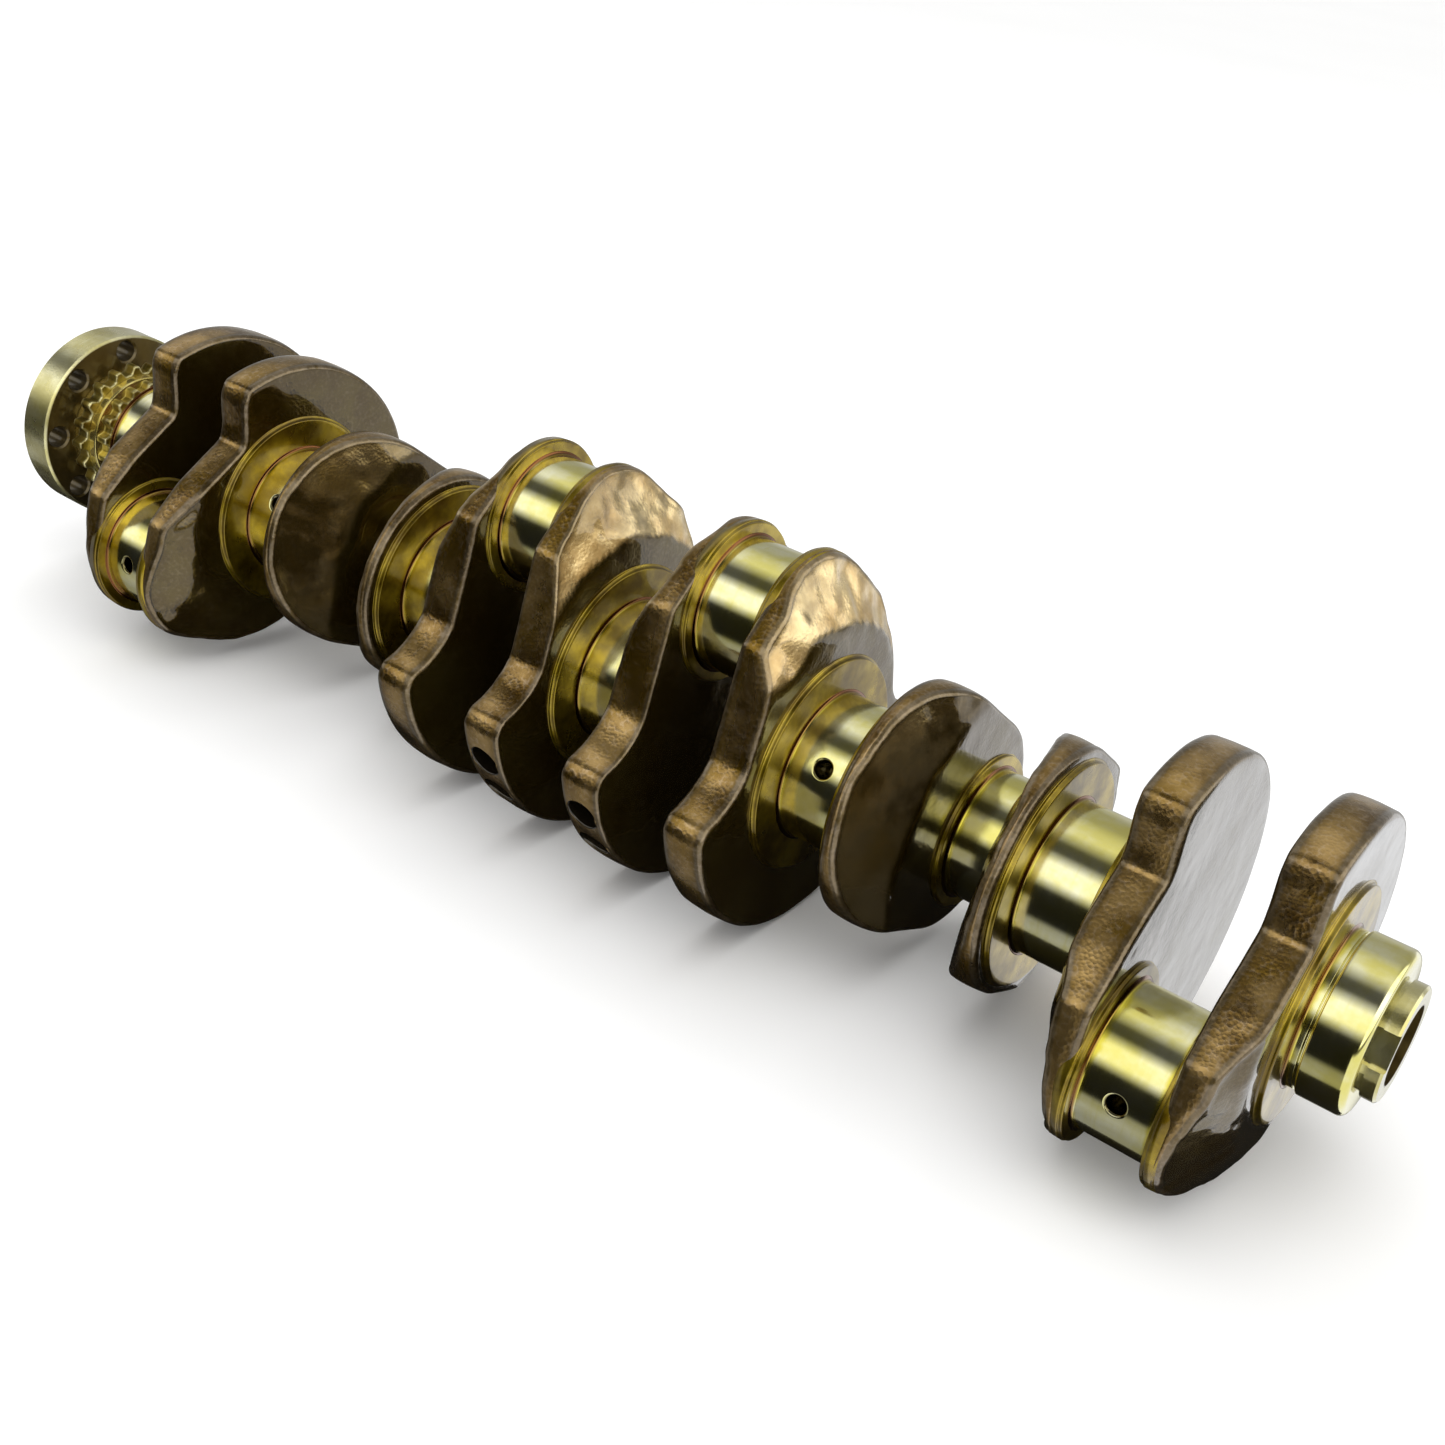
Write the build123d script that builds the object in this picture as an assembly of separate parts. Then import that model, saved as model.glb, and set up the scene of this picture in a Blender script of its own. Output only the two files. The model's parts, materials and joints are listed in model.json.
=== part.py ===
"""Forged crankshaft for an inline six-cylinder engine with its timing drive at the output end.

Frame, in millimetres: X runs along the shaft toward the nose, Z is up, and the shaft's axis is the
X axis. X = 0 is the middle of main journal 4, so cylinder pitches count evenly to both sides.
Every node below is one section of the shaft, cut at the machined faces where two sections meet.
"""

import math
import os

from build123d import *

# Shaft layout
CYLINDERS = 6
PITCH = 91.0  # distance between neighbouring cylinders
THROW = 45.0  # half the stroke
PIN_ANGLES = (120.0, 240.0, 0.0, 0.0, 240.0, 120.0)  # from +Z toward -Y, nose to output end

# Bearing surfaces
MAIN_RADIUS = 27.0
MAIN_WIDTH = 26.0
PIN_RADIUS = 24.5
PIN_WIDTH = 25.0
FILLET_RADIUS = 1.4  # rolled fillet where a journal meets its thrust face
FILLET_STEPS = 5

# Thrust faces that stand up from the forged webs
MAIN_COLLAR_RADIUS = MAIN_RADIUS + 12.5
MAIN_COLLAR_HEIGHT = 2.0
PIN_COLLAR_RADIUS = PIN_RADIUS + 5.0
PIN_COLLAR_HEIGHT = 1.5

# Webs, drawn with U along the throw and V across it
PIN_END_RADIUS = PIN_COLLAR_RADIUS + 0.5  # round end about the crankpin
PIN_END_SWEEP = 48.0  # half angle of that round end
ARM_SHOULDER = (THROW + 7.0, MAIN_COLLAR_RADIUS - 3.5)
ARM_MIDDLE = (THROW - 13.0, MAIN_COLLAR_RADIUS + 1.0)
HEAVY_WAIST = ((13.0, 45.0), (8.0, 48.6), (4.0, 53.0), (1.0, 58.0))
HEAVY_CORNER = (-1.0, 64.0)
HEAVY_ARC_RADIUS = 67.5
HEAVY_ARC_CENTRE = 4.0
LIGHT_WAIST = ((7.0, 42.0), (3.0, 47.0), (0.5, 52.0))
LIGHT_CORNER = (-2.5, 57.5)
LIGHT_ARC_RADIUS = 62.0
LIGHT_ARC_CENTRE = 0.0
CORNER_STEP = 5.0  # how far the corner chamfer runs along a counterweight
OVAL_MAIN_RADIUS = MAIN_COLLAR_RADIUS + 4.5
OVAL_PIN_RADIUS = 41.0
OVAL_PIN_OFFSET = THROW - 12.0
HEAVY_WEBS = (5, 6, 7, 8)
LIGHT_WEBS = (1, 2, 11, 12)

# Relief bevels turned on the webs
ARM_BEVEL_WIDTH = 24.0  # about the shaft, on a counterweighted web's main side
ARM_BEVEL_START = 18.0  # keeps the bevel off the counterweight
OVAL_BEVEL_WIDTH = 29.0  # about the shaft, on a plain web's main side
PIN_SIDE_BEVEL_WIDTH = 31.0  # about the crankpin, on a plain web's pin side
LIP = 4.5  # rim left standing outside each bevel

# Drillings
OIL_HOLE_RADIUS = 3.0
OIL_HOLE_DEPTH = 16.0
OIL_HOLE_MOUTH = 1.0  # width of the countersink round the mouth
MAIN_OIL_ANGLE = 60.0
PIN_OIL_ANGLE = 84.0
OILED_MAINS = (3, 6)
OILED_PINS = (1, 6)
BALANCE_HOLE_WALL = 1.95  # metal left beside each hole
BALANCE_HOLE_DEPTH = 22.0
BALANCE_HOLE_ANGLES = (108.0, 124.0)
BALANCED_WEBS = (6, 7)

# Nose
NOSE_JOURNAL_WIDTH = 19.0
NOSE_JOURNAL_CHAMFER = 2.6
NOSE_NECK_RADIUS = MAIN_RADIUS - 1.0
NOSE_NECK_WIDTH = 3.0
NOSE_GROOVE_RADIUS = MAIN_RADIUS - 1.8
NOSE_GROOVE_WIDTH = 1.2
REGISTER_RADIUS = 19.0
REGISTER_LENGTH = 6.0
REGISTER_UNDERCUT = 1.2
REGISTER_CHAMFER = 0.8
REGISTER_SLOT_WIDTH = 12.0
REGISTER_SLOT_DEPTH = 4.0
REGISTER_SLOT_ANGLE = 70.0
NOSE_RECESS_RADIUS = REGISTER_RADIUS - 6.0
NOSE_RECESS_DEPTH = 2.5
NOSE_BORE_RADIUS = 9.0
NOSE_BORE_DEPTH = 23.0  # from the shaft's end

# Output end, listed from the last main journal outward
REAR_NECK_RADIUS = MAIN_RADIUS - 3.5
REAR_NECK_WIDTH = 7.0
PUMP_SPROCKET_TEETH = 18
PUMP_SPROCKET_WIDTH = 5.7
PUMP_SPROCKET_ROOT = REAR_NECK_RADIUS
PUMP_SPROCKET_TIP = PUMP_SPROCKET_ROOT + 2.7
HUB_RADIUS = 27.0
HUB_WIDTH = 5.0
TIMING_SPROCKET_TEETH = 20
TIMING_SPROCKET_WIDTH = 6.0
TIMING_SPROCKET_ROOT = HUB_RADIUS + 0.8
TIMING_SPROCKET_TIP = TIMING_SPROCKET_ROOT + 3.2
TOOTH_ROOT_SHARE = 0.66  # share of the tooth pitch that a tooth covers at its foot
TOOTH_TIP_SHARE = 0.26  # and at its tip
FLANGE_NECK_WIDTH = 3.8
FLANGE_WIDTH = 16.5
FLANGE_RADIUS = 41.7
FLANGE_CHAMFER = 1.0
FLANGE_BOLTS = 8
FLANGE_BOLT_CIRCLE = FLANGE_RADIUS - 6.9
FLANGE_HOLE_RADIUS = 4.6
FLANGE_HOLE_ANGLE = -3.0
FLANGE_HOLE_MOUTH = 0.8
PILOT_RADIUS = 14.0
PILOT_DEPTH = 8.0

CLEARANCE = 5.0  # how far cutting shapes run past the metal
HALF_PITCH = PITCH / 2
JOURNAL_SHARE = (MAIN_WIDTH + PIN_WIDTH) / 2 + MAIN_COLLAR_HEIGHT + PIN_COLLAR_HEIGHT
WEB_THICKNESS = HALF_PITCH - JOURNAL_SHARE
BEVEL_DEPTH = WEB_THICKNESS - LIP
WEB_TIP = THROW + PIN_END_RADIUS
OVAL_TIP = OVAL_PIN_OFFSET + OVAL_PIN_RADIUS
OVAL_HEEL = THROW + OVAL_MAIN_RADIUS  # measured from the crankpin
BALANCE_HOLE_RADIUS = WEB_THICKNESS / 2 - BALANCE_HOLE_WALL
NOSE_JOURNAL_START = CYLINDERS / 2 * PITCH - MAIN_WIDTH / 2
NOSE_JOURNAL_END = NOSE_JOURNAL_START + NOSE_JOURNAL_WIDTH
SHAFT_END = NOSE_JOURNAL_END + REGISTER_LENGTH
LAST_MAIN_END = -CYLINDERS / 2 * PITCH - MAIN_WIDTH / 2
PUMP_SPROCKET_START = LAST_MAIN_END - REAR_NECK_WIDTH
HUB_START = PUMP_SPROCKET_START - PUMP_SPROCKET_WIDTH
TIMING_SPROCKET_START = HUB_START - HUB_WIDTH
FLANGE_NECK_START = TIMING_SPROCKET_START - TIMING_SPROCKET_WIDTH
FLANGE_START = FLANGE_NECK_START - FLANGE_NECK_WIDTH
FLANGE_END = FLANGE_START - FLANGE_WIDTH


def direction(angle):
    """Unit vector at an angle from +Z toward -Y."""
    return Vector(0, -math.sin(math.radians(angle)), math.cos(math.radians(angle)))


def main_x(number):
    """Middle of a main journal."""
    return (CYLINDERS / 2 + 1 - number) * PITCH


def pin_x(number):
    """Middle of a crankpin."""
    return (CYLINDERS / 2 + 0.5 - number) * PITCH


def pin_centre(number):
    """Where a crankpin's axis stands off the shaft's axis."""
    return direction(PIN_ANGLES[number - 1]) * THROW


def across(x, angle):
    """Plane across the shaft whose own X runs along the throw and whose normal is +X."""
    throw = direction(angle)
    return Plane(origin=(x, 0, 0), x_dir=(throw.X, throw.Y, throw.Z), z_dir=(1, 0, 0))


def turned(stations, centre=Vector(0, 0, 0)):
    """Solid turned from (x, radius) stations about an axis parallel to the shaft."""
    outline = [(stations[0][0], 0), *stations, (stations[-1][0], 0)]
    face = make_face(Polyline(*outline, close=True))
    return Pos(0, centre.Y, centre.Z) * revolve(face, axis=Axis.X)


def disc(x_from, x_to, radius, centre=Vector(0, 0, 0)):
    """Round disc between two stations."""
    return turned([(x_from, radius), (x_to, radius)], centre)


def fillet_stations(face_x, inward, radius):
    """Stations of the concave fillet that rises to a thrust face; inward points along the journal."""
    stations = []
    for step in range(FILLET_STEPS + 1):
        turn = math.radians(90 * step / FILLET_STEPS)
        inset = FILLET_RADIUS * (1 - math.cos(turn))
        height = FILLET_RADIUS * (1 - math.sin(turn))
        stations.append((face_x + inward * inset, radius + height))
    return stations


def oil_hole(x, angle, radius, centre=Vector(0, 0, 0)):
    """Radial drilling with a countersunk mouth, to be cut from a journal."""
    out = direction(angle)
    mouth = centre + out * radius + Vector(x, 0, 0)
    drill_plane = Plane(origin=mouth, x_dir=(1, 0, 0), z_dir=-out)
    drill = extrude(drill_plane * Circle(OIL_HOLE_RADIUS), amount=OIL_HOLE_DEPTH)
    flare_plane = Plane(origin=mouth + out * CLEARANCE, x_dir=(1, 0, 0), z_dir=-out)
    flare_top = OIL_HOLE_RADIUS + OIL_HOLE_MOUTH + CLEARANCE
    flare_length = flare_top - OIL_HOLE_RADIUS
    flare = flare_plane * Cone(
        flare_top, OIL_HOLE_RADIUS, flare_length, align=(Align.CENTER, Align.CENTER, Align.MIN)
    )
    return drill + flare


def journal(middle, width, radius, centre=Vector(0, 0, 0)):
    """Bearing journal with a rolled fillet at each end."""
    left = fillet_stations(middle - width / 2, 1, radius)
    right = fillet_stations(middle + width / 2, -1, radius)
    return turned([*left, *reversed(right)], centre)


def main_journal(number):
    """Main bearing journal, drilled for oil where the shaft has it."""
    body = journal(main_x(number), MAIN_WIDTH, MAIN_RADIUS)
    if number in OILED_MAINS:
        body -= oil_hole(main_x(number), MAIN_OIL_ANGLE, MAIN_RADIUS)
    return body


def crankpin(number):
    """Connecting-rod journal on its throw."""
    centre = pin_centre(number)
    body = journal(pin_x(number), PIN_WIDTH, PIN_RADIUS, centre)
    if number in OILED_PINS:
        body -= oil_hole(pin_x(number), PIN_OIL_ANGLE, PIN_RADIUS, centre)
    return body


def nose_bore():
    """Blind centre bore at the nose with a wider recess at its mouth."""
    bore = disc(SHAFT_END - NOSE_BORE_DEPTH, SHAFT_END + CLEARANCE, NOSE_BORE_RADIUS)
    recess = disc(SHAFT_END - NOSE_RECESS_DEPTH, SHAFT_END + CLEARANCE, NOSE_RECESS_RADIUS)
    return bore + recess


def nose_journal():
    """First main journal, with its neck, grinding groove and rounded lead-in."""
    neck_end = NOSE_JOURNAL_START + NOSE_NECK_WIDTH
    groove_end = neck_end + NOSE_GROOVE_WIDTH
    stations = [
        *fillet_stations(NOSE_JOURNAL_START, 1, NOSE_NECK_RADIUS),
        (neck_end, NOSE_NECK_RADIUS),
        (neck_end, NOSE_GROOVE_RADIUS),
        (groove_end, NOSE_GROOVE_RADIUS),
        (groove_end, MAIN_RADIUS),
    ]
    for step in range(FILLET_STEPS + 1):
        turn = math.radians(90 * step / FILLET_STEPS)
        back = NOSE_JOURNAL_CHAMFER * (1 - math.sin(turn))
        drop = NOSE_JOURNAL_CHAMFER * (1 - math.cos(turn))
        stations.append((NOSE_JOURNAL_END - back, MAIN_RADIUS - drop))
    return turned(stations) - nose_bore()


def nose_register():
    """Short spigot at the nose, with an undercut, one drive slot and the centre bore."""
    undercut_end = NOSE_JOURNAL_END + REGISTER_UNDERCUT
    stations = [
        (NOSE_JOURNAL_END, REGISTER_RADIUS - REGISTER_UNDERCUT),
        (undercut_end, REGISTER_RADIUS - REGISTER_UNDERCUT),
        (undercut_end, REGISTER_RADIUS),
        (SHAFT_END - REGISTER_CHAMFER, REGISTER_RADIUS),
        (SHAFT_END, REGISTER_RADIUS - REGISTER_CHAMFER),
    ]
    slot_plane = across(NOSE_JOURNAL_END - CLEARANCE, REGISTER_SLOT_ANGLE)
    slot_reach = REGISTER_SLOT_DEPTH + CLEARANCE
    slot_middle = REGISTER_RADIUS - REGISTER_SLOT_DEPTH + slot_reach / 2
    slot_face = slot_plane * Pos(slot_middle, 0) * Rectangle(slot_reach, REGISTER_SLOT_WIDTH)
    slot = extrude(slot_face, amount=REGISTER_LENGTH + 2 * CLEARANCE)
    return turned(stations) - slot - nose_bore()


def counterweighted_face(plane, waist, corner, arc_radius, arc_centre):
    """Outline with a round pin end, straight arms, a waist and a counterweight arc."""
    sweep = math.radians(PIN_END_SWEEP)
    round_end = (THROW + PIN_END_RADIUS * math.cos(sweep), PIN_END_RADIUS * math.sin(sweep))
    tip = (WEB_TIP, 0)
    rim_u = corner[0] - CORNER_STEP
    rim_v = math.sqrt(arc_radius**2 - (rim_u - arc_centre) ** 2)
    side = [round_end, ARM_SHOULDER, ARM_MIDDLE, *waist, corner, (rim_u, rim_v)]
    other = [(u, -v) for u, v in side]
    heel = (arc_centre - arc_radius, 0)
    edges = [
        ThreePointArc(other[0], tip, side[0]),
        Polyline(*side),
        ThreePointArc(side[-1], heel, other[-1]),
        Polyline(*reversed(other)),
    ]
    return plane * make_face(edges)


def oval_face(plane):
    """Outline of a plain web: a circle about the shaft and one about the pin end, joined."""
    lean = math.asin((OVAL_MAIN_RADIUS - OVAL_PIN_RADIUS) / OVAL_PIN_OFFSET)
    main_u = OVAL_MAIN_RADIUS * math.sin(lean)
    main_v = OVAL_MAIN_RADIUS * math.cos(lean)
    pin_u = OVAL_PIN_OFFSET + OVAL_PIN_RADIUS * math.sin(lean)
    pin_v = OVAL_PIN_RADIUS * math.cos(lean)
    edges = [
        ThreePointArc((main_u, main_v), (-OVAL_MAIN_RADIUS, 0), (main_u, -main_v)),
        Line((main_u, -main_v), (pin_u, -pin_v)),
        ThreePointArc((pin_u, -pin_v), (OVAL_TIP, 0), (pin_u, pin_v)),
        Line((pin_u, pin_v), (main_u, main_v)),
    ]
    return plane * make_face(edges)


def bevel_cutter(face_x, into, inner, outer, centre=Vector(0, 0, 0)):
    """Cone-walled cutter: opens at the inner radius on a face and reaches the outer one at the lip."""
    slope = (outer - inner) / BEVEL_DEPTH
    reach = outer + CLEARANCE
    outline = [
        (face_x - into * CLEARANCE, inner - slope * CLEARANCE),
        (face_x + into * BEVEL_DEPTH, outer),
        (face_x + into * BEVEL_DEPTH, reach),
        (face_x - into * CLEARANCE, reach),
    ]
    ring = revolve(make_face(Polyline(*outline, close=True)), axis=Axis.X)
    return Pos(0, centre.Y, centre.Z) * ring


def arm_side(plate_start, angle):
    """Block that holds a web's arm but none of its counterweight."""
    length = WEB_TIP + CLEARANCE - ARM_BEVEL_START
    plane = across(plate_start - CLEARANCE, angle)
    face = plane * Pos(ARM_BEVEL_START + length / 2, 0) * Rectangle(length, 4 * MAIN_COLLAR_RADIUS)
    return extrude(face, amount=WEB_THICKNESS + 2 * CLEARANCE)


def balance_hole(x, angle):
    """Radial drilling in a counterweight's rim."""
    out = direction(angle)
    start = Vector(x, 0, 0) + out * (HEAVY_ARC_RADIUS + HEAVY_ARC_CENTRE + CLEARANCE)
    plane = Plane(origin=start, x_dir=(1, 0, 0), z_dir=-out)
    depth = BALANCE_HOLE_DEPTH + CLEARANCE + 2 * HEAVY_ARC_CENTRE
    return extrude(plane * Circle(BALANCE_HOLE_RADIUS), amount=depth)


def web(number):
    """One crank web with its raised thrust faces, relief bevels and balance holes."""
    pin_number = (number + 1) // 2
    angle = PIN_ANGLES[pin_number - 1]
    centre = pin_centre(pin_number)
    toward_pin = -1 if number % 2 else 1
    main_face = pin_x(pin_number) - toward_pin * (HALF_PITCH - MAIN_WIDTH / 2)
    pin_face = pin_x(pin_number) - toward_pin * PIN_WIDTH / 2
    plate_main = main_face + toward_pin * MAIN_COLLAR_HEIGHT
    plate_pin = pin_face - toward_pin * PIN_COLLAR_HEIGHT
    plate_start = min(plate_main, plate_pin)
    plane = across(plate_start, angle)
    if number in HEAVY_WEBS:
        outline = counterweighted_face(
            plane, HEAVY_WAIST, HEAVY_CORNER, HEAVY_ARC_RADIUS, HEAVY_ARC_CENTRE
        )
    elif number in LIGHT_WEBS:
        outline = counterweighted_face(
            plane, LIGHT_WAIST, LIGHT_CORNER, LIGHT_ARC_RADIUS, LIGHT_ARC_CENTRE
        )
    else:
        outline = oval_face(plane)
    body = extrude(outline, amount=WEB_THICKNESS)
    if number in HEAVY_WEBS + LIGHT_WEBS:
        arm_bevel = bevel_cutter(plate_main, toward_pin, WEB_TIP - ARM_BEVEL_WIDTH, WEB_TIP)
        body -= arm_bevel & arm_side(plate_start, angle)
    else:
        body -= bevel_cutter(plate_main, toward_pin, OVAL_TIP - OVAL_BEVEL_WIDTH, OVAL_TIP)
        body -= bevel_cutter(
            plate_pin, -toward_pin, OVAL_HEEL - PIN_SIDE_BEVEL_WIDTH, OVAL_HEEL, centre
        )
    if number in BALANCED_WEBS:
        for hole_angle in BALANCE_HOLE_ANGLES:
            body -= balance_hole((plate_main + plate_pin) / 2, hole_angle)
    body += disc(min(main_face, plate_main), max(main_face, plate_main), MAIN_COLLAR_RADIUS)
    body += disc(min(pin_face, plate_pin), max(pin_face, plate_pin), PIN_COLLAR_RADIUS, centre)
    return body


def sprocket(start, end, teeth, tip_radius, root_radius):
    """Toothed ring between two stations, its teeth tapering from foot to tip."""
    points = []
    pitch_angle = 360 / teeth
    for tooth in range(teeth):
        middle = tooth * pitch_angle
        corners = [
            (-TOOTH_ROOT_SHARE, root_radius),
            (-TOOTH_TIP_SHARE, tip_radius),
            (TOOTH_TIP_SHARE, tip_radius),
            (TOOTH_ROOT_SHARE, root_radius),
        ]
        for share, radius in corners:
            turn = math.radians(middle + share * pitch_angle / 2)
            points.append((radius * math.cos(turn), radius * math.sin(turn)))
    face = across(min(start, end), 0) * make_face(Polyline(*points, close=True))
    return extrude(face, amount=abs(end - start))


def output_flange():
    """Thick bolting disc at the output end, with its through holes and pilot recess."""
    stations = [
        (FLANGE_END, FLANGE_RADIUS - FLANGE_CHAMFER),
        (FLANGE_END + FLANGE_CHAMFER, FLANGE_RADIUS),
        (FLANGE_START - FLANGE_CHAMFER, FLANGE_RADIUS),
        (FLANGE_START, FLANGE_RADIUS - FLANGE_CHAMFER),
    ]
    body = turned(stations)
    for hole in range(FLANGE_BOLTS):
        centre = direction(FLANGE_HOLE_ANGLE + hole * 360 / FLANGE_BOLTS) * FLANGE_BOLT_CIRCLE
        flare = FLANGE_HOLE_RADIUS + FLANGE_HOLE_MOUTH + CLEARANCE
        drill = turned(
            [
                (FLANGE_END - CLEARANCE, flare),
                (FLANGE_END + FLANGE_HOLE_MOUTH, FLANGE_HOLE_RADIUS),
                (FLANGE_START - FLANGE_HOLE_MOUTH, FLANGE_HOLE_RADIUS),
                (FLANGE_START + CLEARANCE, flare),
            ],
            centre,
        )
        body -= drill
    return body - disc(FLANGE_END - CLEARANCE, FLANGE_END + PILOT_DEPTH, PILOT_RADIUS)


def nodes():
    """Every section of the shaft by name, from the nose to the output end."""
    sections = {"nose_register": nose_register(), "main_journal_1": nose_journal()}
    for number in range(2, CYLINDERS + 2):
        sections[f"main_journal_{number}"] = main_journal(number)
    for number in range(1, CYLINDERS + 1):
        sections[f"crankpin_{number}"] = crankpin(number)
    for number in range(1, 2 * CYLINDERS + 1):
        sections[f"web_{number}"] = web(number)
    sections["rear_neck"] = disc(PUMP_SPROCKET_START, LAST_MAIN_END, REAR_NECK_RADIUS)
    sections["pump_sprocket"] = sprocket(
        HUB_START, PUMP_SPROCKET_START, PUMP_SPROCKET_TEETH, PUMP_SPROCKET_TIP, PUMP_SPROCKET_ROOT
    )
    sections["sprocket_hub"] = disc(TIMING_SPROCKET_START, HUB_START, HUB_RADIUS)
    sections["timing_sprocket"] = sprocket(
        FLANGE_NECK_START,
        TIMING_SPROCKET_START,
        TIMING_SPROCKET_TEETH,
        TIMING_SPROCKET_TIP,
        TIMING_SPROCKET_ROOT,
    )
    sections["flange_neck"] = disc(FLANGE_START, FLANGE_NECK_START, HUB_RADIUS)
    sections["output_flange"] = output_flange()
    return sections


def main():
    """Write one STEP file per section."""
    os.makedirs("parts", exist_ok=True)
    for name, shape in nodes().items():
        export_step(shape, f"parts/{name}.step")


if __name__ == "__main__":
    main()
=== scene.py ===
"""Looks of a forged six-cylinder crankshaft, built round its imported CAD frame.

Every shape is worked out in millimetres with numpy and put into its mesh in metres. X runs along the
shaft toward the nose and Z is up. An angle round the shaft is measured from +Z toward -Y. On a web,
U runs along the throw and V across it.
"""

import itertools
import json
import logging
import math
from collections.abc import Callable, Sequence
from dataclasses import dataclass, field
from enum import Enum

import bpy
import numpy as np
from mathutils import Matrix, Vector

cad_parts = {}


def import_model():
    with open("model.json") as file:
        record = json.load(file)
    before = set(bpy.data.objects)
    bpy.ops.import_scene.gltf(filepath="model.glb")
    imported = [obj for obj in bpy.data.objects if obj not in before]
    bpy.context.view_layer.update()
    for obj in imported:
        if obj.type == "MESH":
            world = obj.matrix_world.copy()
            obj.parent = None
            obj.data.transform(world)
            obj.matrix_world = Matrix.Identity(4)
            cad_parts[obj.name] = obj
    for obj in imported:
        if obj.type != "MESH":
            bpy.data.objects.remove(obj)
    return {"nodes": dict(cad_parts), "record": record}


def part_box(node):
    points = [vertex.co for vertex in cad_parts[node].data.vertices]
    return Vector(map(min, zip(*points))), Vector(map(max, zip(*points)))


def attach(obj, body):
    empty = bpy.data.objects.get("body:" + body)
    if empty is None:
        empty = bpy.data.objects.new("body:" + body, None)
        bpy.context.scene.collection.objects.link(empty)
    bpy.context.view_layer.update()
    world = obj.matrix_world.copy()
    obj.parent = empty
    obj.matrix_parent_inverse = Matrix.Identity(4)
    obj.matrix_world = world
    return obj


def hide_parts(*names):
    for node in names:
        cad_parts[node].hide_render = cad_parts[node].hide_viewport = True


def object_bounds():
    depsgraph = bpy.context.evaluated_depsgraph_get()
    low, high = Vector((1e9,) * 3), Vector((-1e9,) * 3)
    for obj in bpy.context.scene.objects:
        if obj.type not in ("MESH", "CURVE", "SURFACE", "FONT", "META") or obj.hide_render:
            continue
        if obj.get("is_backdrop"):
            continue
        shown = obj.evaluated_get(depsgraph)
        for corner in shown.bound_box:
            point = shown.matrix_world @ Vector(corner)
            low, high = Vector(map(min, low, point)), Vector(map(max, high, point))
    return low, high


Array = np.ndarray
Colour = tuple[float, float, float]
Station = tuple[float, float]
HeightField = Callable[[Array, Array], Array]

# MM is metres in a millimetre. THROW is the distance in millimetres from the shaft's axis to a crankpin's.
# PIN_ANGLES are the crankpins' angles round the shaft in degrees, from the nose.
MM = 0.001
THROW = 45.0
PIN_ANGLES = (120.0, 240.0, 0.0, 0.0, 240.0, 120.0)
LATTICE_VALUES = 4096
LATTICE_SHIFT = 100.0
HASH_PRIMES = (73856093, 19349663, 83492791)
LOG = logging.getLogger("crankshaft")


class Side(Enum):
    """Which way a web's crankpin lies from it along the shaft."""

    PIN_BEHIND = -1
    PIN_AHEAD = 1


class WebForm(Enum):
    """The three outlines of crank web on this shaft."""

    HEAVY = "heavy"
    LIGHT = "light"
    PLAIN = "plain"


# ---------------------------------------------------------------- helpers


def span(node: str) -> Station:
    """Ends of a CAD node along the shaft, in millimetres."""
    low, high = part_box(node)
    return low.x / MM, high.x / MM


def pin_centre(angle: float) -> Station:
    """Axis of the crankpin at an angle round the shaft, as (y, z): the throw toward that angle."""
    turn = math.radians(angle)
    return -THROW * math.sin(turn), THROW * math.cos(turn)


def lattice_noise(points: Array, size: float, seed: int) -> Array:
    """Smooth noise: random values on a cubic lattice, eased between its corners.

    Args:
        points: positions in millimetres, one row each.
        size: distance between lattice corners in millimetres.
        seed: picks the random values.

    Returns:
        One value from -1 to 1 for each point.
    """
    table = np.random.default_rng(seed).random(LATTICE_VALUES) * 2 - 1
    scaled = points / size + LATTICE_SHIFT
    base = np.floor(scaled).astype(np.int64)
    part = scaled - base
    eased = part * part * (3 - 2 * part)
    total = np.zeros(len(points))
    for corner in itertools.product((0, 1), repeat=3):
        cell = base + np.array(corner)
        key = np.bitwise_xor.reduce(cell * np.array(HASH_PRIMES), axis=1)
        weight = np.prod(np.where(np.array(corner) == 1, eased, 1 - eased), axis=1)
        total += table[key & (LATTICE_VALUES - 1)] * weight
    return total


def ease(values: Array, low: float, high: float) -> Array:
    """Eased step: 0 below low, 1 above high and smooth between them."""
    part = np.clip((values - low) / (high - low), 0.0, 1.0)
    return part * part * (3 - 2 * part)


def lower_of(first: Array, second: Array, blend: float) -> Array:
    """Smooth minimum: minus the log of the summed exponentials, rounded over the blend length."""
    least = np.minimum(first, second)
    return least - blend * np.log(
        np.exp(-(first - least) / blend) + np.exp(-(second - least) / blend)
    )


def arc_points(centre: Station, radius: float, start: float, end: float, count: int) -> Array:
    """Points of a circular arc: centre plus radius times the cosine and sine of even angle steps."""
    turn = np.radians(np.linspace(start, end, count))
    return np.column_stack([centre[0] + radius * np.cos(turn), centre[1] + radius * np.sin(turn)])


def averaged(loop: Array, spread: float) -> Array:
    """Loop under a Gaussian average round it.

    Each wave of the loop is kept by the exponential of -2 times the square of pi times rate times spread.

    Args:
        loop: rows of values that close on themselves.
        spread: standard deviation of the average, in rows.

    Returns:
        The averaged rows.
    """
    wave = np.fft.fftfreq(len(loop))[:, None]
    keep = np.exp(-2 * (math.pi * wave * spread) ** 2)
    return np.real(np.fft.ifft(np.fft.fft(loop, axis=0) * keep, axis=0))


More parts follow.
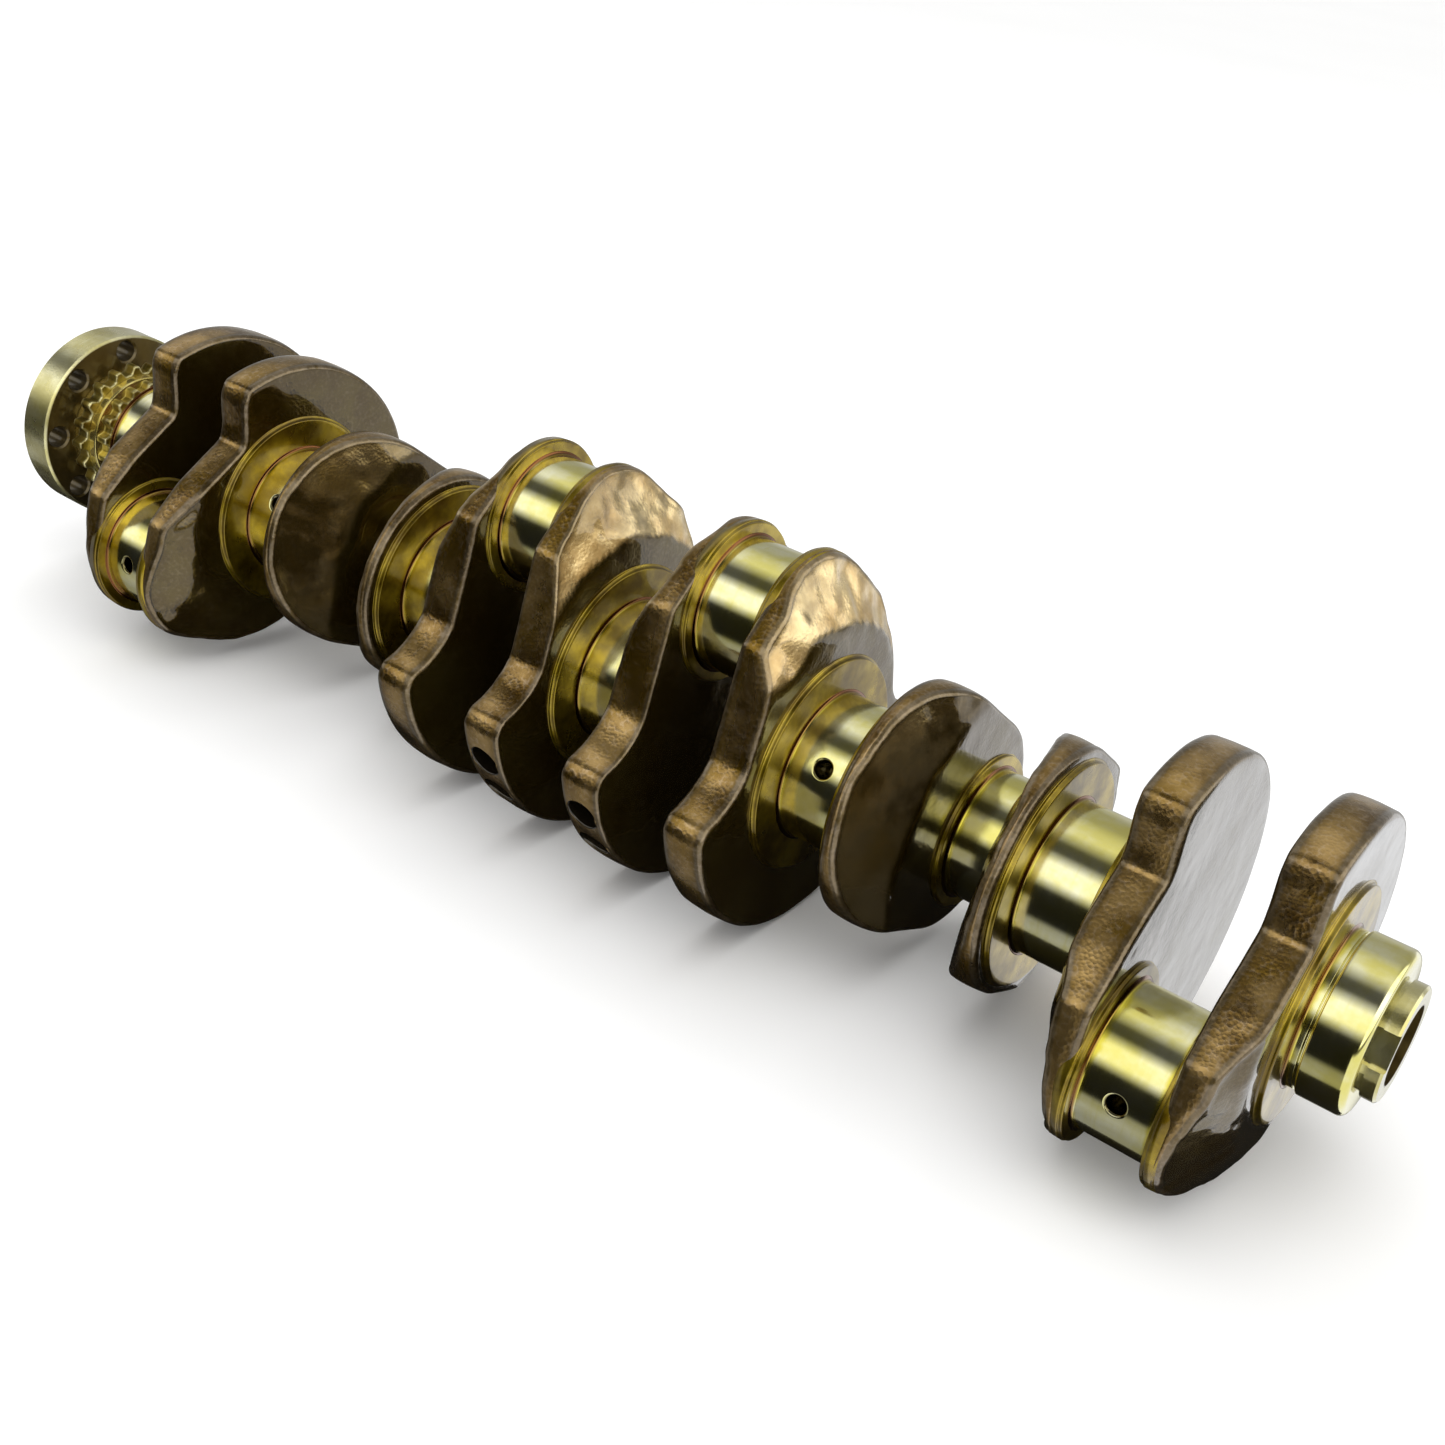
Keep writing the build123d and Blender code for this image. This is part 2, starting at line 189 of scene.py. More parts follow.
def even_loop(corners: Array, count: int, soften: float) -> Array:
    """Closed outline at even steps of arc length, with its corners softened by a Gaussian average.

    Args:
        corners: the outline's points in order.
        count: how many points to return.
        soften: standard deviation of the average, in millimetres.

    Returns:
        The softened outline, one (u, v) row per point.
    """
    closed = np.vstack([corners, corners[:1]])
    steps = np.hypot(*np.diff(closed, axis=0).T)
    reach = np.concatenate([[0.0], np.cumsum(steps)])
    at = np.linspace(0, reach[-1], count, endpoint=False)
    loop = np.column_stack([np.interp(at, reach, closed[:, 0]), np.interp(at, reach, closed[:, 1])])
    return averaged(loop, soften / (reach[-1] / count))


def outward_normals(loop: Array, soften: float) -> Array:
    """Unit normals of a counter-clockwise loop: its tangents turned by a right angle and averaged.

    Args:
        loop: (u, v) rows of the closed loop.
        soften: standard deviation of the average, in points.

    Returns:
        One unit vector per point.
    """
    tangent = np.roll(loop, -1, axis=0) - np.roll(loop, 1, axis=0)
    normal = averaged(np.column_stack([tangent[:, 1], -tangent[:, 0]]), soften)
    return normal / np.linalg.norm(normal, axis=1, keepdims=True)


# ---------------------------------------------------------------- closed surfaces


@dataclass(frozen=True)
class Drilling:
    """A blind hole drilled square to a grid surface.

    Its rows and columns count the surface's grid, and its sizes are in millimetres. The wall stands inside
    the radius by the slack, and forgets the curve of the lip over the blend depth. draw_in holds the shares
    of the way from the opened square to the circle.
    """

    row: int
    column: int
    half_rows: int
    half_columns: int
    radius: float
    mouth: float
    depth: float
    slack: float = 0.03
    blend: float = 4.0
    draw_in: tuple[float, ...] = (0.35, 0.62, 0.82, 0.94, 1.0)

    def levels(self) -> tuple[Station, ...]:
        """Depth and radius of each ring of the wall, from the rounded mouth to the floor."""
        wall = self.radius - self.slack
        return (
            (self.mouth * 0.4, self.radius + self.mouth * 0.45),
            (self.mouth, self.radius),
            (self.mouth + 0.4, wall),
            (self.depth * 0.5, wall),
            (self.depth, wall),
        )


@dataclass
class Shell:
    """A closed surface, ready to go into a mesh."""

    points: Array
    quads: Array
    triangles: Array
    masks: dict[str, Array]
    slot: int = 0

    def turned_outward(self) -> "Shell":
        """Turns the faces to point out, by the sign of the enclosed volume.

        Returns:
            This shell.
        """
        halves = np.vstack(
            [self.quads[:, [0, 1, 2]], self.quads[:, [0, 2, 3]], self.triangles]
        )
        a, b, c = (self.points[halves[:, i]] for i in range(3))
        if np.einsum("ij,ij->i", a, np.cross(b, c)).sum() < 0:
            self.quads = self.quads[:, ::-1]
            self.triangles = self.triangles[:, ::-1]
        return self


@dataclass
class GridSurface:
    """A grid of points closed round its columns and shut by a pole at each end."""

    rows: Array
    masks: dict[str, Array]
    first_pole: Array
    last_pole: Array
    drillings: list[Drilling] = field(default_factory=list)
    slot: int = 0

    def at(self, layer: Array, row: Array, column: Array) -> Array:
        """Value of a grid layer between its points: the four neighbours weighted by nearness.

        Args:
            layer: values on the grid.
            row: places down the grid, in rows.
            column: places round it, in columns.

        Returns:
            One value or vector per place.
        """
        count = layer.shape[1]
        low_row = np.clip(np.floor(row).astype(int), 0, layer.shape[0] - 2)
        low_column = np.floor(column).astype(int)
        down = row - low_row
        over = column - low_column
        if layer.ndim == 3:
            down, over = down[:, None], over[:, None]
        left, right = low_column % count, (low_column + 1) % count
        upper = layer[low_row, left] * (1 - over) + layer[low_row, right] * over
        lower = layer[low_row + 1, left] * (1 - over) + layer[low_row + 1, right] * over
        return upper * (1 - down) + lower * down

    def shell(self) -> Shell:
        """Closed shell of the grid, its poles and its drilled holes.

        Returns:
            The shell, its faces pointing outward.
        """
        rows, columns = self.rows.shape[:2]
        ids = np.arange(rows * columns).reshape(rows, columns)
        ahead = np.roll(ids, -1, axis=1)
        cells = np.stack([ids[:-1], ahead[:-1], ahead[1:], ids[1:]], axis=-1)
        kept = np.ones(cells.shape[:2], bool)
        first, last = rows * columns, rows * columns + 1
        points = [self.rows.reshape(-1, 3), self.first_pole[None], self.last_pole[None]]
        masks = {
            name: [layer.ravel(), layer[:1].mean(axis=1), layer[-1:].mean(axis=1)]
            for name, layer in self.masks.items()
        }
        quads: list[Array] = []
        triangles = [
            np.column_stack([np.full(columns, first), ahead[0], ids[0]]),
            np.column_stack([np.full(columns, last), ids[-1], ahead[-1]]),
        ]
        total = last + 1
        for hole in self.drillings:
            total = self._drill(hole, ids, kept, points, masks, quads, triangles, total)
        quads.insert(0, cells[kept])
        return Shell(
            np.vstack(points),
            np.vstack(quads),
            np.vstack(triangles),
            {name: np.concatenate(parts) for name, parts in masks.items()},
            self.slot,
        ).turned_outward()

    def _drill(
        self,
        hole: Drilling,
        ids: Array,
        kept: Array,
        points: list[Array],
        masks: dict[str, list[Array]],
        quads: list[Array],
        triangles: list[Array],
        total: int,
    ) -> int:
        """Opens a square patch, draws it in to a circle and sinks the hole's wall from it.

        Args:
            hole: where and how large.
            ids: point numbers of the grid.
            kept: which cells stay, changed here.
            points: point blocks, added to here.
            masks: mask blocks, added to here.
            quads: four-sided faces, added to here.
            triangles: three-sided faces, added to here.
            total: number of points so far.

        Returns:
            The new number of points.
        """
        count = ids.shape[1]
        top, bottom = hole.row - hole.half_rows, hole.row + hole.half_rows
        left, right = hole.column - hole.half_columns, hole.column + hole.half_columns
        kept[top:bottom][:, np.arange(left, right) % count] = False
        across, down = np.arange(left, right), np.arange(top, bottom)
        ring_row = np.concatenate(
            [np.full(len(across), top), down, np.full(len(across), bottom), down[::-1] + 1]
        )
        ring_column = np.concatenate(
            [across, np.full(len(down), right), across[::-1] + 1, np.full(len(down), left)]
        )
        column, ahead, behind = ((hole.column + shift) % count for shift in (0, 1, -1))
        middle = self.rows[hole.row, column]
        along = self.rows[hole.row + 1, column] - self.rows[hole.row - 1, column]
        over = self.rows[hole.row, ahead] - self.rows[hole.row, behind]
        step_row, step_column = np.linalg.norm(along) / 2, np.linalg.norm(over) / 2
        along, over = along / np.linalg.norm(along), over / np.linalg.norm(over)
        inward = np.cross(along, over)
        inward *= -np.sign(inward @ (middle - self.rows.reshape(-1, 3).mean(axis=0)))
        offset = np.column_stack(
            [(ring_row - hole.row) * step_row, (ring_column - hole.column) * step_column]
        )
        turn = np.arctan2(offset[:, 1], offset[:, 0])
        circle = np.column_stack([np.cos(turn), np.sin(turn)])
        previous = ids[ring_row, ring_column % count]
        size = len(previous)
        blocks: list[tuple[Array, Array | None, Array | None]] = []
        for share in hole.draw_in:
            spot = offset * (1 - share) + circle * (hole.radius + hole.mouth) * share
            rows_at = hole.row + spot[:, 0] / step_row
            columns_at = hole.column + spot[:, 1] / step_column
            blocks.append((self.at(self.rows, rows_at, columns_at), rows_at, columns_at))
        level = (blocks[-1][0] - middle) @ inward
        for sink, radius in hole.levels():
            wall = circle[:, :1] * along * radius + circle[:, 1:] * over * radius
            fade = max(0.0, 1 - sink / hole.blend)
            blocks.append((middle + wall + inward * (sink + level[:, None] * fade), None, None))
        for block, rows_at, columns_at in blocks:
            points.append(block)
            for name, layer in self.masks.items():
                if rows_at is None:
                    masks[name].append(np.full(size, 1.0 if name == "bore" else 0.0))
                else:
                    masks[name].append(self.at(layer, rows_at, columns_at))
            now = total + np.arange(size)
            quads.append(
                np.column_stack([previous, np.roll(previous, -1), np.roll(now, -1), now])
            )
            previous, total = now, total + size
        points.append((middle + inward * hole.depth)[None])
        for name in self.masks:
            masks[name].append(np.array([1.0 if name == "bore" else 0.0]))
        triangles.append(np.column_stack([previous, np.roll(previous, -1), np.full(size, total)]))
        return total + 1


@dataclass(frozen=True)
class Stock:
    """What every piece is made of and how it joins the frame."""

    materials: tuple[bpy.types.Material, ...]
    slot: str

    def piece(self, name: str, shells: Sequence[Shell], nodes: Sequence[str]) -> None:
        """Makes one object from closed shells and puts it in its CAD nodes' place.

        Args:
            name: the piece's name.
            shells: its closed surfaces, in millimetres.
            nodes: the CAD nodes that it stands for.
        """
        offsets = np.cumsum([0] + [len(s.points) for s in shells])
        points = np.vstack([s.points for s in shells]) * MM
        loops: list[Array] = []
        sizes: list[Array] = []
        slots: list[Array] = []
        for shell, offset in zip(shells, offsets):
            for faces in (shell.quads, shell.triangles):
                loops.append((faces + offset).ravel())
                sizes.append(np.full(len(faces), faces.shape[1]))
                slots.append(np.full(len(faces), shell.slot))
        totals = np.concatenate(sizes)
        mesh = bpy.data.meshes.new(name)
        mesh.vertices.add(len(points))
        mesh.vertices.foreach_set("co", points.astype(np.float32).ravel())
        corners = np.concatenate(loops).astype(np.int32)
        mesh.loops.add(len(corners))
        mesh.loops.foreach_set("vertex_index", corners)
        mesh.polygons.add(len(totals))
        starts = np.concatenate([[0], np.cumsum(totals)[:-1]]).astype(np.int32)
        mesh.polygons.foreach_set("loop_start", starts)
        mesh.polygons.foreach_set("material_index", np.concatenate(slots).astype(np.int32))
        mesh.polygons.foreach_set("use_smooth", np.ones(len(totals), bool))
        for mask in sorted({m for s in shells for m in s.masks}):
            values = np.concatenate(
                [s.masks.get(mask, np.zeros(len(s.points))) for s in shells]
            )
            layer = mesh.attributes.new(mask, "FLOAT", "POINT")
            layer.data.foreach_set("value", values.astype(np.float32))
        mesh.update(calc_edges=True)
        mesh.validate()
        for material in self.materials:
            mesh.materials.append(material)
        made = bpy.data.objects.new(name, mesh)
        bpy.context.scene.collection.objects.link(made)
        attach(made, "root")
        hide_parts(*nodes)
        LOG.info("%s: %d points, %d faces, stands for %s", name, len(points), len(totals), list(nodes))


# ---------------------------------------------------------------- turned surfaces


@dataclass
class Turning:
    """A surface turned from stations of (x, radius) about an axis along the shaft."""

    stations: Sequence[Station]
    centre: Station = (0.0, 0.0)
    columns: int = 180
    slot: int = 0
    end_width: float = 5.0
    high_end_stained: bool = True
    drillings: list[Drilling] = field(default_factory=list)

    def shell(self) -> Shell:
        """Every station's circle, point by point: centre plus radius toward each angle.

        The end mask rises to 1 at both ends of the run of stations, or at the low end alone.

        Returns:
            The closed shell.
        """
        along = np.array([s[0] for s in self.stations])
        radius = np.array([s[1] for s in self.stations])
        turn = np.radians(np.arange(self.columns) * 360.0 / self.columns)
        rows = np.empty((len(along), self.columns, 3))
        rows[..., 0] = along[:, None]
        rows[..., 1] = self.centre[0] - radius[:, None] * np.sin(turn)
        rows[..., 2] = self.centre[1] + radius[:, None] * np.cos(turn)
        reach = along - along.min()
        if self.high_end_stained:
            reach = np.minimum(reach, along.max() - along)
        near = 1 - ease(reach, 0.0, self.end_width)
        masks = {
            "end": np.repeat(near[:, None], self.columns, axis=1),
            "bore": np.zeros(rows.shape[:2]),
        }
        poles = [np.array([x, *self.centre]) for x in (along[0], along[-1])]
        grid = GridSurface(rows, masks, poles[0], poles[1], self.drillings, self.slot)
        return grid.shell()


def rounded(
    corner: Station, before: Station, after: Station, radius: float, steps: int = 5
) -> list[Station]:
    """Stations that round a corner with a circular arc between its two sides.

    Args:
        corner: where the sides meet.
        before: a point on the side that comes first.
        after: a point on the side that comes next.
        radius: distance from the corner at which the rounding starts.
        steps: spans in the arc.

    Returns:
        The arc's stations: a quadratic curve from side to side, pulled toward the corner.
    """
    c, b, a = (np.array(p, float) for p in (corner, before, after))
    first = c + (b - c) / np.linalg.norm(b - c) * radius
    last = c + (a - c) / np.linalg.norm(a - c) * radius
    share = np.linspace(0, 1, steps + 1)[:, None]
    curve = first * (1 - share) ** 2 + c * 2 * share * (1 - share) + last * share**2
    return [tuple(p) for p in curve]


@dataclass(frozen=True)
class JournalSizes:
    """Sizes shared by the ground bearing surfaces, in millimetres."""

    fillet: float = 1.4
    fillet_steps: int = 7
    embed: float = 0.4
    body_rows: int = 22
    oil_radius: float = 3.0
    oil_mouth: float = 0.9
    oil_depth: float = 14.0
    oil_cells: int = 6

    def stations(self, low: float, high: float, radius: float) -> list[Station]:
        """Journal stations: a rolled fillet up to the thrust face at both ends, straight between.

        Args:
            low: x of the end toward the flange.
            high: x of the end toward the nose.
            radius: radius of the ground surface.

        Returns:
            The stations from low to high.
        """
        turn = np.linspace(0, math.pi / 2, self.fillet_steps)
        inset = self.fillet * (1 - np.cos(turn))
        rise = self.fillet * (1 - np.sin(turn))
        body = np.linspace(low + self.fillet, high - self.fillet, self.body_rows + 1)[1:-1]
        first = [(low - self.embed, radius + self.fillet)]
        first += [(low + i, radius + r) for i, r in zip(inset, rise)]
        last = [(high - i, radius + r) for i, r in zip(inset[::-1], rise[::-1])]
        return [*first, *[(x, radius) for x in body], *last, (high + self.embed, radius + self.fillet)]


@dataclass
class Journals:
    """The ground main journals and crankpins between the webs."""

    stock: Stock
    main_radius: float = 27.0
    pin_radius: float = 24.5
    oiled_mains: tuple[int, ...] = (3, 6)
    oiled_pins: tuple[int, ...] = (1, 6)
    main_oil_angle: float = 60.0
    pin_oil_angle: float = 84.0
    sizes: JournalSizes = field(default_factory=JournalSizes)
    columns: int = 180

    def _turning(self, node: str, radius: float, centre: Station, oil_angle: float | None) -> Shell:
        """One journal's surface between its CAD node's ends.

        Args:
            node: the CAD node.
            radius: radius of the ground surface.
            centre: its axis as (y, z).
            oil_angle: where its oil drilling opens round it, or None.

        Returns:
            The closed shell.
        """
        s = self.sizes
        stations = s.stations(*span(node), radius)
        holes: list[Drilling] = []
        if oil_angle is not None:
            column = round(oil_angle / 360 * self.columns)
            cells = (s.oil_cells, s.oil_cells)
            middle = len(stations) // 2
            holes.append(Drilling(middle, column, *cells, s.oil_radius, s.oil_mouth, s.oil_depth))
        return Turning(stations, centre, self.columns, drillings=holes).shell()

    def build(self) -> None:
        """Makes main journals 2 to 7 and all six crankpins."""
        for number in range(2, 8):
            node = f"main_journal_{number}"
            angle = self.main_oil_angle if number in self.oiled_mains else None
            shell = self._turning(node, self.main_radius, (0.0, 0.0), angle)
            self.stock.piece(f"ground_{node}", [shell], [node])
        for number, turn in enumerate(PIN_ANGLES, start=1):
            node = f"crankpin_{number}"
            angle = self.pin_oil_angle if number in self.oiled_pins else None
            shell = self._turning(node, self.pin_radius, pin_centre(turn), angle)
            self.stock.piece(f"ground_{node}", [shell], [node])


# ---------------------------------------------------------------- plates with an outline


@dataclass
class Plate:
    """A slab across the shaft with any outline, rounded edges and faces that may dip.

    The edge mask fades over edge_fade on the faces and rim_fade on the rim. The dip mask rises between
    dip_from and dip_full below the face. All are in millimetres, as are the sizes of the rim's noise.
    """

    outline: Array
    low: float
    high: float
    edge: float
    throw_angle: float
    star: Station = (0.0, 0.0)
    high_dip: HeightField | None = None
    low_dip: HeightField | None = None
    # How much painted highlight the dip mask puts on the bevels of each face.
    high_bevel_light: float = 1.0
    low_bevel_light: float = 1.0
    face_rings: int = 40
    rim_rows: int = 6
    edge_rows: int = 5
    crown: float = 0.0
    rim_noise: float = 0.0
    seed: int = 1
    slot: int = 0
    inner_share: float = 0.02
    edge_fade: float = 2.4
    rim_fade: float = 2.2
    dip_from: float = 0.45
    dip_full: float = 1.05
    most_edge: float = 0.46
    normal_spread: float = 2.0
    broad_noise: float = 17.0
    fine_noise: float = 6.5
    fine_share: float = 0.45
    hole_margin: float = 1.6

    def _place(self, flat: Array, along: Array) -> Array:
        """Turns (u, v) and x into space: u along the throw, v a right angle further round.

        Args:
            flat: (u, v) positions.
            along: their x.

        Returns:
            The positions as (x, y, z).
        """
        turn = math.radians(self.throw_angle)
        u, v = flat[..., 0], flat[..., 1]
        y = -u * math.sin(turn) - v * math.cos(turn)
        z = u * math.cos(turn) - v * math.sin(turn)
        return np.stack([along, y, z], axis=-1)

    def _dip(self, chosen: HeightField | None, flat: Array) -> Array:
        """Depth below the flat plate face at each point, as a negative height.

        Args:
            chosen: the face's height field, or None for a flat face.
            flat: (u, v) positions.

        Returns:
            One height per position.
        """
        if chosen is None:
            return np.zeros(len(flat))
        return chosen(flat[:, 0], flat[:, 1])

    def shell(self, drillings: Sequence[tuple[float, float, float, float]] = ()) -> Shell:
        """Rings from one face's pole out to its edge, over the rim and in to the other pole.

        A face ring is the outline drawn in toward the star point by an even share. An edge row follows a
        quarter circle from face to rim. A rim row is an even share of the way between the two edges.

        Args:
            drillings: holes in the rim as (angle from the throw, radius, mouth, depth).

        Returns:
            The closed shell with its masks.
        """
        loop = self.outline
        count = len(loop)
        normal = outward_normals(loop, self.normal_spread)
        star = np.array(self.star)
        inset = loop - normal * self.edge
        high_at = self._dip(self.high_dip, inset)
        low_at = self._dip(self.low_dip, inset)
        thick = (self.high + high_at) - (self.low - low_at)
        edge = np.minimum(self.edge, thick * self.most_edge)
        inset = loop - normal * edge[:, None]
        rows: list[Array] = []
        marks: dict[str, list[Array]] = {"edge": [], "rim": [], "dip": [], "bore": []}

        def add(flat: Array, along: Array, near: Array, rim: float, dip: Array) -> None:
            """Adds one row of the grid and its masks.

            Args:
                flat: (u, v) of the row's points.
                along: their x.
                near: the edge mask.
                rim: the rim mask, from 0 on a face to 1 on the rim.
                dip: the dip mask.
            """
            rows.append(self._place(flat, along))
            marks["edge"].append(near)
            marks["rim"].append(np.full(count, rim))
            marks["dip"].append(dip)
            marks["bore"].append(np.zeros(count))

        def add_face_row(
            share: float, base: float, way: int, field_of: HeightField | None, brightening: float
        ) -> None:
            """Adds the ring at an even share of the way from the star point to a face's edge.

            Args:
                share: how far out the ring is, from 0 to 1.
                base: x of the flat face.
                way: 1 for the face toward the nose, -1 for the other.
                field_of: the face's height field.
                brightening: how much of the dip mask shows; it lightens the bevels as a painted highlight.
            """
            flat = star + (inset - star) * share
            dip = self._dip(field_of, flat)
            gap = np.linalg.norm(inset - flat, axis=1) + edge
            near = np.exp(-((gap / self.edge_fade) ** 2))
            add(flat, base + way * dip, near, 0.0, ease(-dip, self.dip_from, self.dip_full) * brightening)

        def add_edge_row(turn: float, base: float, way: int, dip: Array, brightening: float) -> None:
            """Adds one row of the quarter circle between a face and the rim.

            Args:
                turn: angle along the quarter circle, 0 at the face.
                base: x of the flat face.
                way: 1 for the face toward the nose, -1 for the other.
                dip: the face's heights along its edge.
                brightening: how much of the dip mask shows; it lightens the bevels as a painted highlight.
            """
            flat = loop - normal * (edge * (1 - math.sin(turn)))[:, None]
            along = base + way * dip - way * edge * (1 - math.cos(turn))
            add(flat, along, np.ones(count), 0.5, ease(-dip, self.dip_from, self.dip_full) * 0.5 * brightening)

        shares = np.linspace(self.inner_share, 1.0, self.face_rings)
        turns = np.linspace(0, math.pi / 2, self.edge_rows + 1)[1:]
        for share in shares:
            add_face_row(share, self.high, 1, self.high_dip, self.high_bevel_light)
        for turn in turns:
            add_edge_row(turn, self.high, 1, high_at, self.high_bevel_light)
        top = self.high + high_at - edge
        base = self.low - low_at + edge
        for share in np.linspace(0, 1, self.rim_rows + 1)[1:-1]:
            along = top + (base - top) * share
            flat = loop + normal * (self.crown * math.sin(math.pi * share))
            near = np.exp(-((np.minimum(top - along, along - base) / self.rim_fade) ** 2))
            add(flat, along, near, 1.0, np.zeros(count))
        for turn in turns[::-1]:
            add_edge_row(turn, self.low, -1, low_at, self.low_bevel_light)
        for share in shares[::-1]:
            add_face_row(share, self.low, -1, self.low_dip, self.low_bevel_light)
        grid = np.stack(rows)
        if self.rim_noise > 0:
            spot = grid.reshape(-1, 3)
            out = self._place(normal, np.zeros(count))
            rough = lattice_noise(spot, self.broad_noise, self.seed)
            rough += self.fine_share * lattice_noise(spot, self.fine_noise, self.seed + 5)
            weight = np.stack(marks["rim"])
            grid += out[None] * (rough.reshape(weight.shape) * weight * self.rim_noise)[..., None]
        surface = GridSurface(
            grid,
            {name: np.stack(parts) for name, parts in marks.items()},
            self._place(star, np.array(self.high + self._dip(self.high_dip, star[None])[0])),
            self._place(star, np.array(self.low - self._dip(self.low_dip, star[None])[0])),
            slot=self.slot,
        )
        middle = self.face_rings + self.edge_rows + self.rim_rows // 2 - 1
        round_at = np.degrees(np.arctan2(loop[:, 1], loop[:, 0]))
        for angle, radius, mouth, depth in drillings:
            column = int(np.argmin(np.abs((round_at - angle + 180) % 360 - 180)))
            step = np.linalg.norm(loop[column] - loop[column - 1])
            half = int(math.ceil((radius + mouth + self.hole_margin) / step))
            surface.drillings.append(
                Drilling(middle, column, self.rim_rows // 2 - 1, half, radius, mouth, depth)
            )
        return surface.shell()


# ---------------------------------------------------------------- webs


@dataclass(frozen=True)
class WebSizes:
    """Sizes of the crank webs in millimetres."""

    main_collar: float = 39.5
    main_collar_height: float = 2.0
    pin_collar: float = 29.5
    pin_collar_height: float = 1.5
    pin_end: float = 29.6
    pin_end_sweep: float = 48.0
    shoulder: Station = (52.0, 35.6)
    arm: Station = (32.0, 40.2)
    heavy_waist: tuple[Station, ...] = ((13.0, 45.0), (8.0, 48.6), (4.0, 53.0), (1.0, 58.0))
    heavy_corner: Station = (-1.0, 64.0)
    heavy_arc: float = 67.5
    heavy_arc_centre: float = 4.0
    light_waist: tuple[Station, ...] = ((7.0, 42.0), (3.0, 47.0), (0.5, 52.0))
    light_corner: Station = (-2.5, 57.5)
    light_arc: float = 62.0
    corner_step: float = 5.0
    plain_main: float = 44.0
    plain_pin: float = 40.6
    plain_offset: float = 33.0
    arm_bevel: float = 24.0
    plain_bevel: float = 29.0
    pin_side_bevel: float = 31.0
    bevel_depth: float = 12.0
    # Shares of painted highlight on the bevels: of a crankpin-side face, and of a light web's faces.
    pin_side_bevel_light: float = 0.22
    light_web_bevel_light: float = 0.02
    edge: float = 2.1
    drilled_edge: float = 1.3
    main_cove: float = 1.1
    pin_cove: float = 0.5
    star_u: float = 4.0
    plain_star_u: float = 14.0
    crown: float = 0.35
    rim_noise: float = 0.32
    balance_angles: tuple[float, ...] = (108.0, 124.0)
    balance_radius: float = 6.2
    balance_mouth: float = 0.5
    balance_depth: float = 20.0


